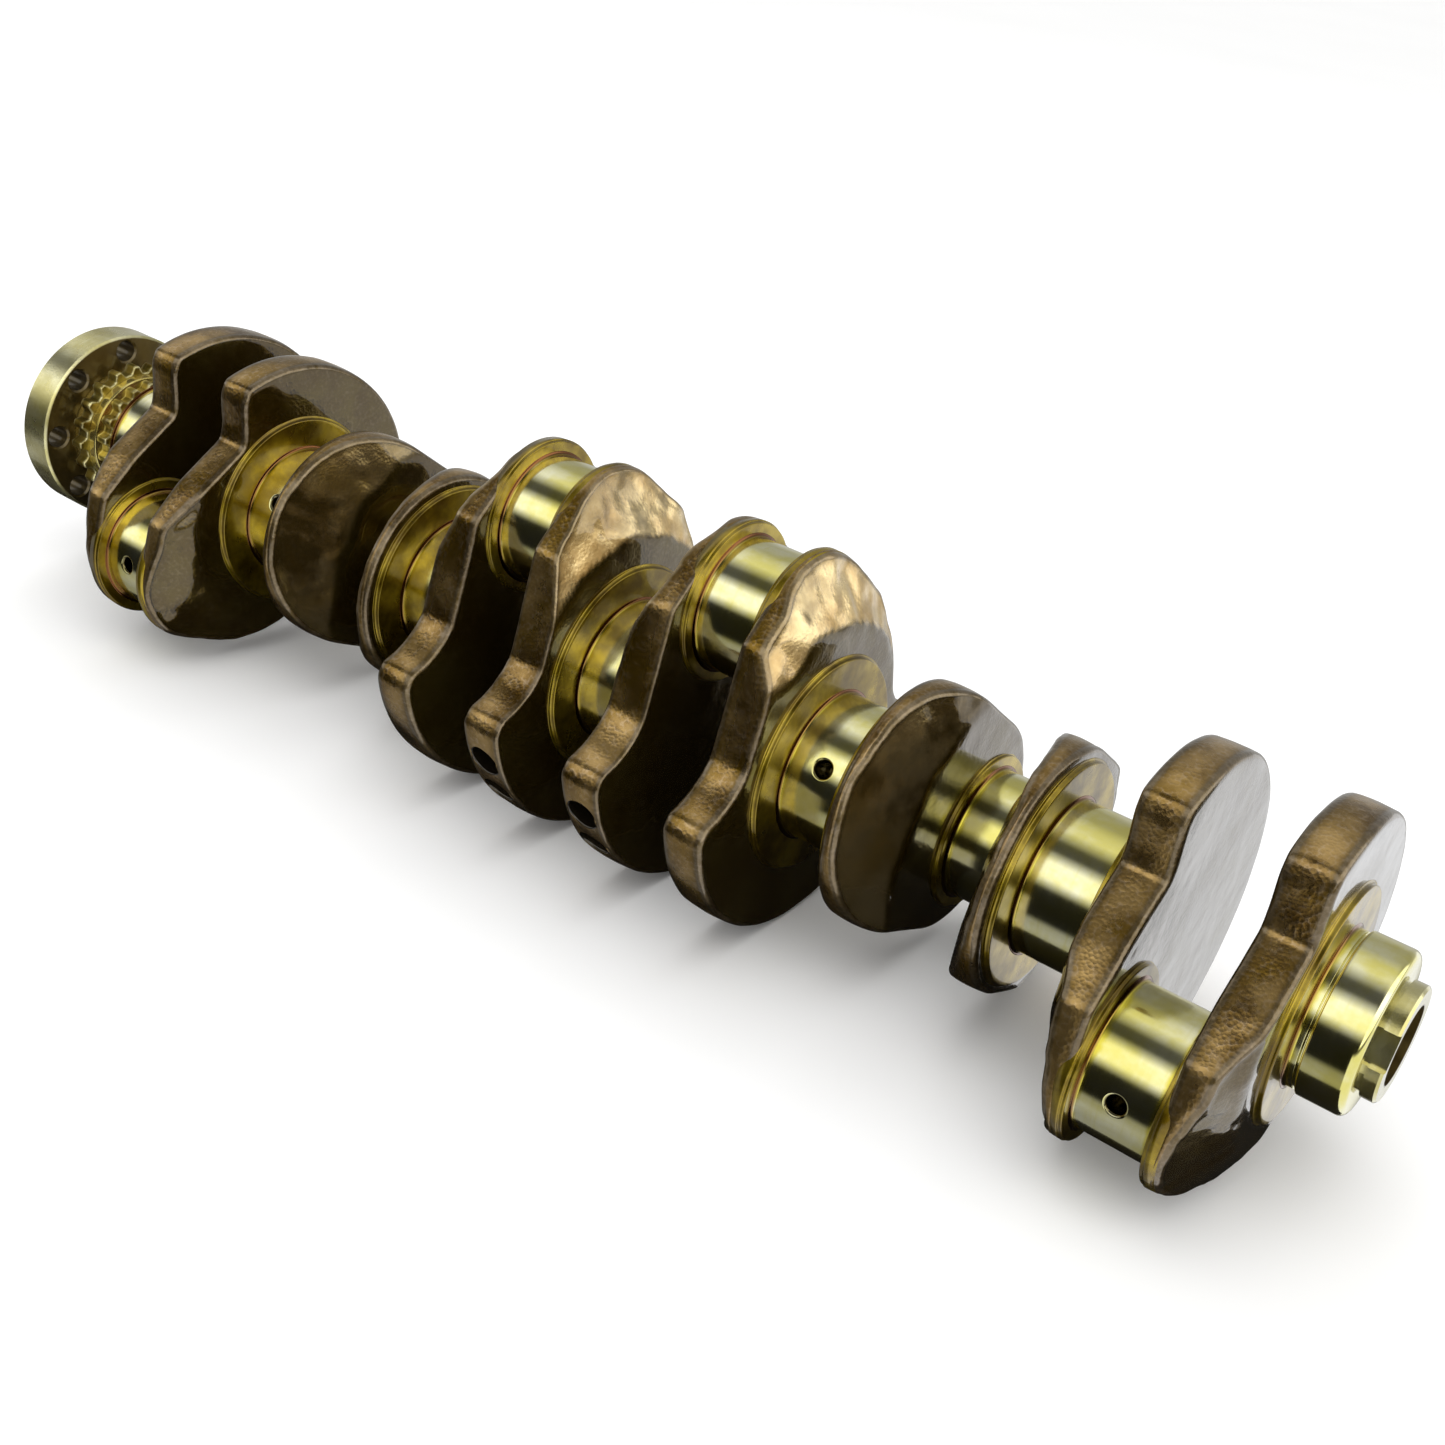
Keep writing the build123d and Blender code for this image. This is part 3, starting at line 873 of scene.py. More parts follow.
@dataclass
class Web:
    """One forged crank web with its two raised thrust faces."""

    number: int
    stock: Stock
    sizes: WebSizes = field(default_factory=WebSizes)
    columns: int = 440

    @property
    def node(self) -> str:
        """Name of the CAD node that this web stands for."""
        return f"web_{self.number}"

    @property
    def side(self) -> Side:
        """Which way its crankpin lies."""
        return Side.PIN_BEHIND if self.number % 2 else Side.PIN_AHEAD

    @property
    def form(self) -> WebForm:
        """Its outline."""
        if self.number in (5, 6, 7, 8):
            return WebForm.HEAVY
        return WebForm.LIGHT if self.number in (1, 2, 11, 12) else WebForm.PLAIN

    @property
    def throw_angle(self) -> float:
        """Angle of its crankpin round the shaft."""
        return PIN_ANGLES[(self.number + 1) // 2 - 1]

    @property
    def balanced(self) -> bool:
        """Whether its counterweight has balance drillings."""
        return self.number in (6, 7)

    def outline(self) -> Array:
        """Outline round the web, counter-clockwise in (u, v).

        A counterweighted web runs from an arc about the crankpin along straight arms to a waist, a
        corner and an arc about the shaft. A plain web is two circles and their common tangents.

        Returns:
            Even points along the softened outline.
        """
        s = self.sizes
        if self.form is WebForm.PLAIN:
            lean = math.degrees(math.asin((s.plain_main - s.plain_pin) / s.plain_offset))
            start = 90 - lean
            pin_side = arc_points((s.plain_offset, 0.0), s.plain_pin, -start, start, 60)
            main_side = arc_points((0.0, 0.0), s.plain_main, start, 360 - start, 60)
            return even_loop(np.vstack([pin_side, main_side]), self.columns, 0.8)
        heavy = self.form is WebForm.HEAVY
        waist = s.heavy_waist if heavy else s.light_waist
        corner = s.heavy_corner if heavy else s.light_corner
        radius = s.heavy_arc if heavy else s.light_arc
        middle = s.heavy_arc_centre if heavy else 0.0
        rim_u = corner[0] - s.corner_step
        rim_v = math.sqrt(radius**2 - (rim_u - middle) ** 2)
        side = np.array([s.shoulder, s.arm, *waist, corner])
        start = math.degrees(math.atan2(rim_v, rim_u - middle))
        loop = np.vstack(
            [
                arc_points((THROW, 0.0), s.pin_end, -s.pin_end_sweep, s.pin_end_sweep, 40),
                side,
                arc_points((middle, 0.0), radius, start, 360 - start, 90),
                side[::-1] * (1, -1),
            ]
        )
        return even_loop(loop, self.columns, 1.5)

    def _forging(self, u: Array, v: Array, salt: int) -> Array:
        """Slow unevenness of a forged face: two sizes of smooth noise, under half a millimetre."""
        spot = np.column_stack([u, v, np.full(len(u), self.number * 31.0 + salt * 7.0)])
        return 0.20 * lattice_noise(spot, 19.0, 11 + salt) + 0.07 * lattice_noise(spot, 6.0, 23 + salt)

    def _cone(self, u: Array, v: Array, centre_u: float, inner: float, width: float, salt: int) -> Array:
        """Height of a relief cone: it falls evenly with the distance beyond its inner radius.

        The distance is waved by smooth noise, so that the border is ragged, and the cone is hammered by
        smaller noise.

        Args:
            u: positions along the throw.
            v: positions across it.
            centre_u: where the cone's axis stands along the throw.
            inner: radius at which the cone leaves the face.
            width: radial width over which it falls by the bevel depth.
            salt: varies the noise between faces.

        Returns:
            Heights above the plate face, positive inside the inner radius.
        """
        spot = np.column_stack([u, v, np.full(len(u), self.number * 57.0 + salt * 13.0)])
        away = np.hypot(u - centre_u, v)
        ragged = 2.6 * lattice_noise(spot, 13.0, 41 + salt) + 0.8 * lattice_noise(spot, 4.5, 43 + salt)
        cone = (inner + ragged - away) * self.sizes.bevel_depth / width
        hammer = 1.15 * lattice_noise(spot, 11.0, 47 + salt) + 0.26 * lattice_noise(spot, 4.6, 53 + salt)
        if self.form is not WebForm.HEAVY:
            hammer *= 0.3
        return cone + hammer * ease(away, inner - 2, inner + 5)

    def main_side(self, u: Array, v: Array) -> Array:
        """Height of the face toward the main journal, at most about zero.

        It is the lower of the forged flat and a relief cone about the shaft, which on a counterweighted web
        is eased away below the arm.

        Args:
            u: positions along the throw.
            v: positions across it.

        Returns:
            One height per position.
        """
        s = self.sizes
        flat = self._forging(u, v, 1)
        if self.form is WebForm.PLAIN:
            tip = s.plain_offset + s.plain_pin
            cone = self._cone(u, v, 0.0, tip - s.plain_bevel, s.plain_bevel, 1)
            return lower_of(flat, cone, 0.5)
        tip = THROW + s.pin_end
        cone = self._cone(u, v, 0.0, tip - s.arm_bevel, s.arm_bevel, 1)
        arm = ease(u, 6.0, 16.0)
        return lower_of(flat, cone * arm + 30 * (1 - arm), 0.5)

    def pin_side(self, u: Array, v: Array) -> Array:
        """Height of the face toward the crankpin, at most about zero.

        On a plain web it is the lower of the forged flat and a relief cone about the crankpin.

        Args:
            u: positions along the throw.
            v: positions across it.

        Returns:
            One height per position.
        """
        s = self.sizes
        flat = self._forging(u, v, 2)
        if self.form is not WebForm.PLAIN:
            return flat
        heel = THROW + s.plain_main
        cone = self._cone(u, v, THROW, heel - s.pin_side_bevel, s.pin_side_bevel, 2)
        return lower_of(flat, cone, 0.5)

    def _collar(self, plate: float, face: float, radius: float, centre: Station, cove: float) -> Shell:
        """Raised thrust face: a disc with a rounded rim and a cove down to the plate.

        Args:
            plate: x of the plate face.
            face: x of the thrust face.
            radius: its radius.
            centre: its axis as (y, z).
            cove: size of the cove at its foot.

        Returns:
            The closed shell.
        """
        way = 1.0 if face > plate else -1.0
        foot = plate - way * 3.5
        stations = [(face, 1.0), (face, radius * 0.5), (face, radius - 4.0), (face, radius - 1.6)]
        stations += rounded((face, radius), (face, 0.0), (foot, radius), 0.55)
        foot_corner = plate + way * 0.1
        stations += rounded((foot_corner, radius), (face, radius), (foot_corner, radius + 9), cove)
        stations += [(plate - way * 0.6, radius + cove), (foot, radius + cove * 0.6), (foot, 1.0)]
        return Turning(stations, centre, 160, slot=1).shell()

    def build(self) -> None:
        """Makes the web in place of its CAD node."""
        s = self.sizes
        low, high = span(self.node)
        ahead = self.side is Side.PIN_AHEAD
        # Painted highlight on the bevels: full on heavy and plain webs, faint on light webs and crankpin
        # sides.
        brightening = s.light_web_bevel_light if self.form is WebForm.LIGHT else 1.0
        low_height, high_height = (
            (s.main_collar_height, s.pin_collar_height)
            if ahead
            else (s.pin_collar_height, s.main_collar_height)
        )
        plate = Plate(
            self.outline(),
            low + low_height,
            high - high_height,
            s.drilled_edge if self.balanced else s.edge,
            self.throw_angle,
            star=(s.plain_star_u if self.form is WebForm.PLAIN else s.star_u, 0.0),
            high_dip=self.pin_side if ahead else self.main_side,
            low_dip=self.main_side if ahead else self.pin_side,
            high_bevel_light=s.pin_side_bevel_light if ahead else brightening,
            low_bevel_light=brightening if ahead else s.pin_side_bevel_light,
            crown=s.crown,
            rim_noise=s.rim_noise,
            rim_rows=16 if self.balanced else 8,
            seed=100 + self.number,
        )
        angles = s.balance_angles if self.balanced else ()
        holes = [(angle, s.balance_radius, s.balance_mouth, s.balance_depth) for angle in angles]
        main_plate, main_face, pin_plate, pin_face = (
            (plate.low, low, plate.high, high) if ahead else (plate.high, high, plate.low, low)
        )
        shells = [
            plate.shell(holes),
            self._collar(main_plate, main_face, s.main_collar, (0.0, 0.0), s.main_cove),
            self._collar(pin_plate, pin_face, s.pin_collar, pin_centre(self.throw_angle), s.pin_cove),
        ]
        self.stock.piece(f"forged_{self.node}", shells, [self.node])


# ---------------------------------------------------------------- nose and output end


@dataclass
class Nose:
    """The first main journal with its neck, groove, rounded lead-in and centre bore."""

    stock: Stock
    radius: float = 27.0
    neck: float = 26.0
    neck_width: float = 3.0
    groove: float = 25.2
    groove_width: float = 1.2
    lead_in: float = 2.6
    bore: float = 9.0
    bore_depth: float = 17.0
    bore_mouth: float = 0.6
    end_face: float = 18.0
    body_rows: int = 12
    sizes: JournalSizes = field(default_factory=JournalSizes)

    def build(self) -> None:
        """Makes the journal from its turned stations."""
        low, high = span("main_journal_1")
        fillet = self.sizes.fillet
        turn = np.linspace(0, math.pi / 2, self.sizes.fillet_steps)
        stations: list[Station] = [(low - self.sizes.embed, self.neck + fillet)]
        stations += [
            (low + fillet * (1 - math.cos(t)), self.neck + fillet * (1 - math.sin(t))) for t in turn
        ]
        neck_end = low + self.neck_width
        groove_end = neck_end + self.groove_width
        stations += rounded((neck_end, self.neck), (low, self.neck), (neck_end, self.groove), 0.2, 3)
        stations += [(neck_end, self.groove), (groove_end, self.groove)]
        stations += rounded((groove_end, self.radius), (groove_end, 0.0), (high, self.radius), 0.45)
        body = np.linspace(groove_end + 1.2, high - 3.4, self.body_rows)
        stations += [(x, self.radius) for x in body]
        stations += [
            (high - self.lead_in * (1 - math.sin(t)), self.radius - self.lead_in * (1 - math.cos(t)))
            for t in turn
        ]
        floor = high - self.bore_depth
        stations += [(high, self.end_face), (high, self.bore + self.bore_mouth)]
        stations += [(high - self.bore_mouth, self.bore), (floor, self.bore)]
        shell = Turning(stations, (0.0, 0.0), 180, high_end_stained=False).shell()
        self.stock.piece("ground_main_journal_1", [shell], ["main_journal_1"])


@dataclass
class Sprocket:
    """A toothed ring that drives a chain."""

    node: str
    teeth: int
    tip: float
    root: float
    stock: Stock
    foot_share: float = 0.66
    tip_share: float = 0.26

    def build(self) -> None:
        """Makes the ring from its tooth profile: straight flanks from foot to tip, then softened."""
        low, high = span(self.node)
        pitch = 360.0 / self.teeth
        share = np.tile([-self.foot_share, -self.tip_share, self.tip_share, self.foot_share], self.teeth)
        radius = np.tile([self.root, self.tip, self.tip, self.root], self.teeth)
        turn = np.radians(np.repeat(np.arange(self.teeth) * pitch, 4) + share * pitch / 2)
        corners = np.column_stack([radius * np.cos(turn), radius * np.sin(turn)])
        loop = even_loop(corners, self.teeth * 20, 0.32)
        plate = Plate(loop, low - 0.3, high + 0.3, 0.7, 0.0, face_rings=6, rim_rows=3, edge_rows=4)
        self.stock.piece(f"cut_{self.node}", [plate.shell()], [self.node])


@dataclass
class OutputEnd:
    """The necks, hub and sprockets at the output end."""

    gear: Stock
    turned: Stock

    def build(self) -> None:
        """Makes the turned necks and the two sprockets."""
        for node, radius in (("rear_neck", 23.5), ("sprocket_hub", 27.0), ("flange_neck", 27.0)):
            low, high = span(node)
            stations: list[Station] = [(low - 0.2, radius - 0.3), (low, radius)]
            stations += [(x, radius) for x in np.linspace(low, high, 6)[1:-1]]
            stations += [(high, radius), (high + 0.2, radius - 0.3)]
            self.turned.piece(f"turned_{node}", [Turning(stations).shell()], [node])
        Sprocket("pump_sprocket", 18, 26.2, 23.5, self.gear).build()
        Sprocket("timing_sprocket", 20, 31.0, 27.8, self.gear).build()


def dress(node: bpy.types.Object, material: bpy.types.Material) -> None:
    """Gives a carried-over CAD node its finish through the object's own material slots.

    Args:
        node: the node's object, whose shape stays.
        material: its finish.
    """
    for holder in node.material_slots:
        holder.link = "OBJECT"
        holder.material = material
    LOG.info("%s: CAD shape kept, dressed in %s", node.name, material.name)


# ---------------------------------------------------------------- shader groups


@dataclass
class NodeDesk:
    """A node tree with short calls to add nodes and join them."""

    tree: bpy.types.NodeTree

    def add(self, kind: str, **settings: object) -> bpy.types.Node:
        """Adds a node and sets its properties.

        Args:
            kind: the node's Blender type.
            settings: values of its properties.

        Returns:
            The new node.
        """
        node = self.tree.nodes.new(kind)
        for name, value in settings.items():
            setattr(node, name, value)
        return node

    def feed(self, node: bpy.types.Node, socket: int | str, source: object) -> None:
        """Joins an output to an input, or sets the input's plain value.

        Args:
            node: the node that is fed.
            socket: number or name of its input.
            source: an output socket or a plain value.
        """
        target = node.inputs[socket]
        if isinstance(source, bpy.types.NodeSocket):
            self.tree.links.new(source, target)
        else:
            target.default_value = source

    def math(
        self, kind: str, first: object, second: object = 0.0, third: object = 0.0
    ) -> bpy.types.NodeSocket:
        """A math node on up to three numbers or sockets.

        Args:
            kind: the operation.
            first: its first number or socket.
            second: its second.
            third: its third, where it has one.

        Returns:
            The result's socket.
        """
        node = self.add("ShaderNodeMath", operation=kind)
        for place, source in enumerate((first, second, third)):
            self.feed(node, place, source)
        return node.outputs[0]

    def plus(self, first: object, second: object) -> bpy.types.NodeSocket:
        """The sum of two numbers or sockets."""
        return self.math("ADD", first, second)

    def minus(self, first: object, second: object) -> bpy.types.NodeSocket:
        """The first number or socket less the second."""
        return self.math("SUBTRACT", first, second)

    def times(self, first: object, second: object) -> bpy.types.NodeSocket:
        """The product of two numbers or sockets."""
        return self.math("MULTIPLY", first, second)

    def noise(
        self, where: object, scale: float, detail: float = 3.0, rough: float = 0.55
    ) -> bpy.types.NodeSocket:
        """Noise values at a scale in waves per metre.

        Args:
            where: the position.
            scale: waves per metre.
            detail: how many finer waves are added.
            rough: how strong each finer wave is.

        Returns:
            The noise's socket.
        """
        node = self.add("ShaderNodeTexNoise")
        self.feed(node, "Vector", where)
        self.feed(node, "Scale", scale)
        self.feed(node, "Detail", detail)
        self.feed(node, "Roughness", rough)
        return node.outputs["Fac"]

    def step(
        self, value: object, low: object, high: object, to_low: float = 0.0, to_high: float = 1.0
    ) -> bpy.types.NodeSocket:
        """An eased step of a value between two limits.

        Args:
            value: what is stepped.
            low: where the step starts.
            high: where it ends.
            to_low: the result below it.
            to_high: the result above it.

        Returns:
            The result's socket.
        """
        node = self.add("ShaderNodeMapRange", interpolation_type="SMOOTHSTEP")
        for place, source in zip(
            ("Value", "From Min", "From Max", "To Min", "To Max"), (value, low, high, to_low, to_high)
        ):
            self.feed(node, place, source)
        return node.outputs["Result"]

    def mix(self, share: object, first: object, second: object, blend: str = "MIX") -> bpy.types.NodeSocket:
        """A colour mix of two colours or sockets.

        Args:
            share: how much of the second, from 0 to 1.
            first: the first colour.
            second: the second colour.
            blend: how they are mixed.

        Returns:
            The colour's socket.
        """
        node = self.add("ShaderNodeMix", data_type="RGBA", blend_type=blend)
        self.feed(node, 0, share)
        for place, source in ((6, first), (7, second)):
            self.feed(node, place, (*source, 1.0) if isinstance(source, tuple) else source)
        return node.outputs[2]

    def stretch(self, where: object, scale: tuple[float, float, float]) -> bpy.types.NodeSocket:
        """A position with its axes scaled apart.

        Args:
            where: the position.
            scale: one factor per axis.

        Returns:
            The scaled position's socket.
        """
        node = self.add("ShaderNodeMapping", vector_type="POINT")
        self.feed(node, "Vector", where)
        self.feed(node, "Scale", scale)
        return node.outputs["Vector"]


def new_group(
    name: str, inputs: Sequence[tuple[str, str, object]], outputs: Sequence[tuple[str, str]]
) -> tuple[NodeDesk, bpy.types.Node, bpy.types.Node]:
    """An empty shader group with named sockets.

    Args:
        name: the group's name.
        inputs: socket name, socket type and plain value.
        outputs: socket name and socket type.

    Returns:
        The group's desk, its input node and its output node.
    """
    tree = bpy.data.node_groups.new(name, "ShaderNodeTree")
    for label, kind, value in inputs:
        made = tree.interface.new_socket(name=label, in_out="INPUT", socket_type=kind)
        if value is not None:
            made.default_value = value
    for label, kind in outputs:
        tree.interface.new_socket(name=label, in_out="OUTPUT", socket_type=kind)
    desk = NodeDesk(tree)
    return desk, desk.add("NodeGroupInput"), desk.add("NodeGroupOutput")


class Effects:
    """Shader groups that more than one finish uses, each built once."""

    def __init__(self) -> None:
        """Builds every group."""
        self.grain = self._forge_grain()
        self.oil = self._oil_film()
        self.wear = self._edge_wear()
        self.lines = self._grinding_lines()

    def _forge_grain(self) -> bpy.types.NodeTree:
        """Grain of a shot-blasted forging: cell pits under fine noise, a broad mottle, and a mask of painted
        glints from the cells.

        Returns:
            The group.
        """
        desk, enter, leave = new_group(
            "forge_grain",
            [("Position", "NodeSocketVector", None), ("Coarseness", "NodeSocketFloat", 1.0)],
            [("Height", "NodeSocketFloat"), ("Mottle", "NodeSocketFloat"), ("Glint", "NodeSocketFloat")],
        )
        scaled = desk.add("ShaderNodeVectorMath", operation="SCALE")
        desk.feed(scaled, 0, enter.outputs["Position"])
        desk.feed(scaled, "Scale", enter.outputs["Coarseness"])
        where = scaled.outputs[0]
        cells = desk.add("ShaderNodeTexVoronoi", feature="F1")
        desk.feed(cells, "Vector", where)
        desk.feed(cells, "Scale", 760.0)
        fine = desk.noise(where, 620.0, 4.0, 0.6)
        broad = desk.noise(where, 46.0, 5.0, 0.6)
        bumps = desk.noise(where, 170.0, 2.0, 0.5)
        pits = desk.times(cells.outputs["Distance"], 0.55)
        height = desk.plus(pits, desk.times(fine, 0.5))
        height = desk.plus(height, desk.times(bumps, 0.9))
        desk.feed(leave, "Height", height)
        desk.feed(leave, "Mottle", desk.step(broad, 0.32, 0.68))
        # Painted glints: flecks where the distance to the cells is large.
        desk.feed(leave, "Glint", desk.step(cells.outputs["Distance"], 0.5, 0.95))
        return desk.tree

    def _oil_film(self) -> bpy.types.NodeTree:
        """Oil left on metal: pools from broad noise, cut by runs that hang downward.

        Returns:
            The group.
        """
        desk, enter, leave = new_group(
            "oil_film",
            [("Position", "NodeSocketVector", None), ("Amount", "NodeSocketFloat", 0.5)],
            [("Pool", "NodeSocketFloat"), ("Run", "NodeSocketFloat"), ("Ripple", "NodeSocketFloat")],
        )
        where = enter.outputs["Position"]
        broad = desk.noise(where, 30.0, 4.0, 0.62)
        hanging = desk.noise(desk.stretch(where, (1.0, 1.0, 0.28)), 120.0, 3.0, 0.55)
        gate = desk.minus(1.0, enter.outputs["Amount"])
        low = desk.plus(desk.times(gate, 0.5), 0.22)
        desk.feed(leave, "Pool", desk.step(broad, low, desk.plus(low, 0.16)))
        desk.feed(leave, "Run", desk.step(hanging, 0.46, 0.7))
        slow = desk.noise(where, 75.0, 2.0, 0.5)
        desk.feed(leave, "Ripple", desk.plus(slow, desk.times(hanging, 0.3)))
        return desk.tree

    def _edge_wear(self) -> bpy.types.NodeTree:
        """Bright rubbed edges: the edge mask broken up by noise.

        Returns:
            The group.
        """
        desk, enter, leave = new_group(
            "edge_wear",
            [
                ("Position", "NodeSocketVector", None),
                ("Edge", "NodeSocketFloat", 0.0),
                ("Amount", "NodeSocketFloat", 0.5),
            ],
            [("Wear", "NodeSocketFloat")],
        )
        broken = desk.noise(enter.outputs["Position"], 210.0, 4.0, 0.65)
        level = desk.plus(enter.outputs["Edge"], desk.times(broken, 0.9))
        brightening = desk.step(level, 1.22, 1.60)
        desk.feed(leave, "Wear", desk.times(brightening, enter.outputs["Amount"]))
        return desk.tree

    def _grinding_lines(self) -> bpy.types.NodeTree:
        """Marks left by a grinding wheel: noise squeezed along the shaft, so that it rings it.

        Returns:
            The group.
        """
        desk, enter, leave = new_group(
            "grinding_lines",
            [("Position", "NodeSocketVector", None)],
            [("Height", "NodeSocketFloat"), ("Streak", "NodeSocketFloat"), ("Cloud", "NodeSocketFloat")],
        )
        where = enter.outputs["Position"]
        for name, scale, waves, detail in (
            ("Height", (1.0, 0.012, 0.012), 4200.0, 2.0),
            ("Streak", (1.0, 0.10, 0.10), 520.0, 3.0),
            ("Cloud", (0.7, 1.0, 1.0), 62.0, 4.0),
        ):
            desk.feed(leave, name, desk.noise(desk.stretch(where, scale), waves, detail, 0.6))
        return desk.tree

    @staticmethod
    def use(desk: NodeDesk, group: bpy.types.NodeTree, **values: object) -> bpy.types.Node:
        """Places a group in a material and feeds its inputs.

        Args:
            desk: the material's desk.
            group: the group.
            values: what goes into its inputs, by their names in lower case.

        Returns:
            The group's node.
        """
        node = desk.add("ShaderNodeGroup", node_tree=group)
        for name, value in values.items():
            desk.feed(node, name.capitalize(), value)
        return node


# ---------------------------------------------------------------- finishes


def blank_material(name: str) -> tuple[bpy.types.Material, NodeDesk, bpy.types.Node, bpy.types.NodeSocket]:
    """A material with only its output, its Principled BSDF and object coordinates.

    Args:
        name: the material's name.

    Returns:
        The material, its desk, the shader node and the position socket.
    """
    material = bpy.data.materials.new(name)
    material.use_nodes = True
    material.node_tree.nodes.clear()
    desk = NodeDesk(material.node_tree)
    shader = desk.add("ShaderNodeBsdfPrincipled")
    out = desk.add("ShaderNodeOutputMaterial")
    desk.feed(out, "Surface", shader.outputs["BSDF"])
    where = desk.add("ShaderNodeTexCoord").outputs["Object"]
    return material, desk, shader, where


def mask(desk: NodeDesk, name: str) -> bpy.types.NodeSocket:
    """A per-point mask of the mesh."""
    node = desk.add("ShaderNodeAttribute", attribute_type="GEOMETRY", attribute_name=name)
    return node.outputs["Fac"]


def bump(desk: NodeDesk, shader: bpy.types.Node, height: object, strength: object, distance: float) -> None:
    """Adds a bump that feeds the shader's normal.

    Args:
        desk: the material's desk.
        shader: the shader that takes the normal.
        height: the height's socket.
        strength: how much of the bump shows.
        distance: the depth that a height of 1 stands for, in metres.
    """
    node = desk.add("ShaderNodeBump")
    desk.feed(node, "Height", height)
    desk.feed(node, "Strength", strength)
    desk.feed(node, "Distance", distance)
    desk.feed(shader, "Normal", node.outputs["Normal"])


@dataclass(frozen=True)
class ForgedSkin:
    """Bronze-brown forged skin, wet with oil."""

    bronze: Colour = (0.165, 0.090, 0.014)
    pale: Colour = (0.56, 0.37, 0.135)
    ochre: Colour = (0.062, 0.036, 0.002)
    olive: Colour = (0.095, 0.066, 0.010)
    amber: Colour = (0.26, 0.145, 0.001)
    gold: Colour = (0.98, 0.77, 0.40)
    # Colour of the painted glints and of the rubbed edges.
    glint_and_wear: Colour = (1.0, 0.82, 0.62)
    # Painted shade for the walls of drilled holes.
    hole: Colour = (0.03, 0.025, 0.02)
    oil_amount: float = 0.52
    wear_amount: float = 0.10
    amber_share: float = 0.80
    # How far the edges are darkened with painted shade.
    edge_shade_share: float = 0.45
    # How far the walls of drilled holes are darkened with painted shade.
    hole_shade_share: float = 0.8
    face_metallic: float = 0.85
    rim_metallic: float = 0.96
    face_roughness: float = 0.16
    rim_roughness: float = 0.22
    mottle_roughness: float = 0.08
    worn_roughness: float = 0.10
    oil_gloss: float = 0.10
    coat: float = 1.0
    rim_coat_share: float = 0.35
    coat_roughness: float = 0.035
    coat_ior: float = 1.47
    ripple: float = 1.1
    face_bump: float = 0.40
    rim_bump: float = 0.27
    bump_depth: float = 0.0006

    def material(self, effects: Effects) -> bpy.types.Material:
        """Builds the finish: bronze mottled by grain, gold in the bevels as a painted highlight, ochre under
        pooled oil, painted glints, and painted shade along the edges and in drilled holes.

        Args:
            effects: the shared shader groups.

        Returns:
            The material.
        """
        made, desk, shader, where = blank_material("forged_skin")
        grain = effects.use(desk, effects.grain, position=where, coarseness=1.0)
        film = effects.use(desk, effects.oil, position=where, amount=self.oil_amount)
        edge, rim, dip, bore = (mask(desk, n) for n in ("edge", "rim", "dip", "bore"))
        brightening = effects.use(desk, effects.wear, position=where, edge=edge, amount=self.wear_amount)
        mottle, pool = grain.outputs["Mottle"], film.outputs["Pool"]
        skin = desk.mix(mottle, self.bronze, self.pale)
        face = desk.mix(mottle, self.ochre, self.olive)
        skin = desk.mix(desk.times(pool, self.amber_share), skin, self.amber)
        skin = desk.mix(desk.step(rim, 0.30, 1.0), face, skin)
        # Painted highlight: where the dip mask rises, the bevels are lightened to gold and pale.
        skin = desk.mix(dip, skin, desk.mix(mottle, self.gold, self.pale))
        thin = desk.minus(desk.step(rim, 0.0, 1.0, 0.85, 0.10), desk.times(dip, 0.25))
        oiled = desk.times(pool, thin)
        skin = desk.mix(oiled, skin, self.ochre)
        # Painted glints: pale flecks mixed into the colour, stronger on the rim.
        glint = desk.times(grain.outputs["Glint"], desk.step(rim, 0.0, 0.9, 0.04, 0.17))
        skin = desk.mix(glint, skin, self.glint_and_wear)
        # Painted shade: the edges are darkened toward ochre.
        skin = desk.mix(desk.times(edge, self.edge_shade_share), skin, self.ochre)
        skin = desk.mix(brightening.outputs["Wear"], skin, self.glint_and_wear)
        # Painted shade: the walls of drilled holes are darkened.
        skin = desk.mix(desk.times(bore, self.hole_shade_share), skin, self.hole)
        desk.feed(shader, "Base Color", skin)
        desk.feed(shader, "Metallic", desk.step(rim, 0.0, 0.9, self.face_metallic, self.rim_metallic))
        rough = desk.step(rim, 0.0, 0.9, self.face_roughness, self.rim_roughness)
        rough = desk.plus(rough, desk.times(mottle, self.mottle_roughness))
        rough = desk.plus(rough, desk.times(desk.math("MAXIMUM", dip, edge), self.worn_roughness))
        rough = desk.minus(rough, desk.times(oiled, self.oil_gloss))
        desk.feed(shader, "Roughness", rough)
        coat = desk.step(rim, 0.3, 1.0, self.coat, self.coat * self.rim_coat_share)
        desk.feed(shader, "Coat Weight", coat)
        shader.inputs["Coat Roughness"].default_value = self.coat_roughness
        shader.inputs["Coat IOR"].default_value = self.coat_ior
        drowned = desk.minus(desk.step(rim, 0.0, 0.9, 0.55, 1.0), desk.times(oiled, 0.45))
        height = desk.times(grain.outputs["Height"], drowned)
        height = desk.plus(height, desk.times(film.outputs["Ripple"], self.ripple))
        bump(desk, shader, height, desk.step(rim, 0.0, 0.9, self.face_bump, self.rim_bump), self.bump_depth)
        return made


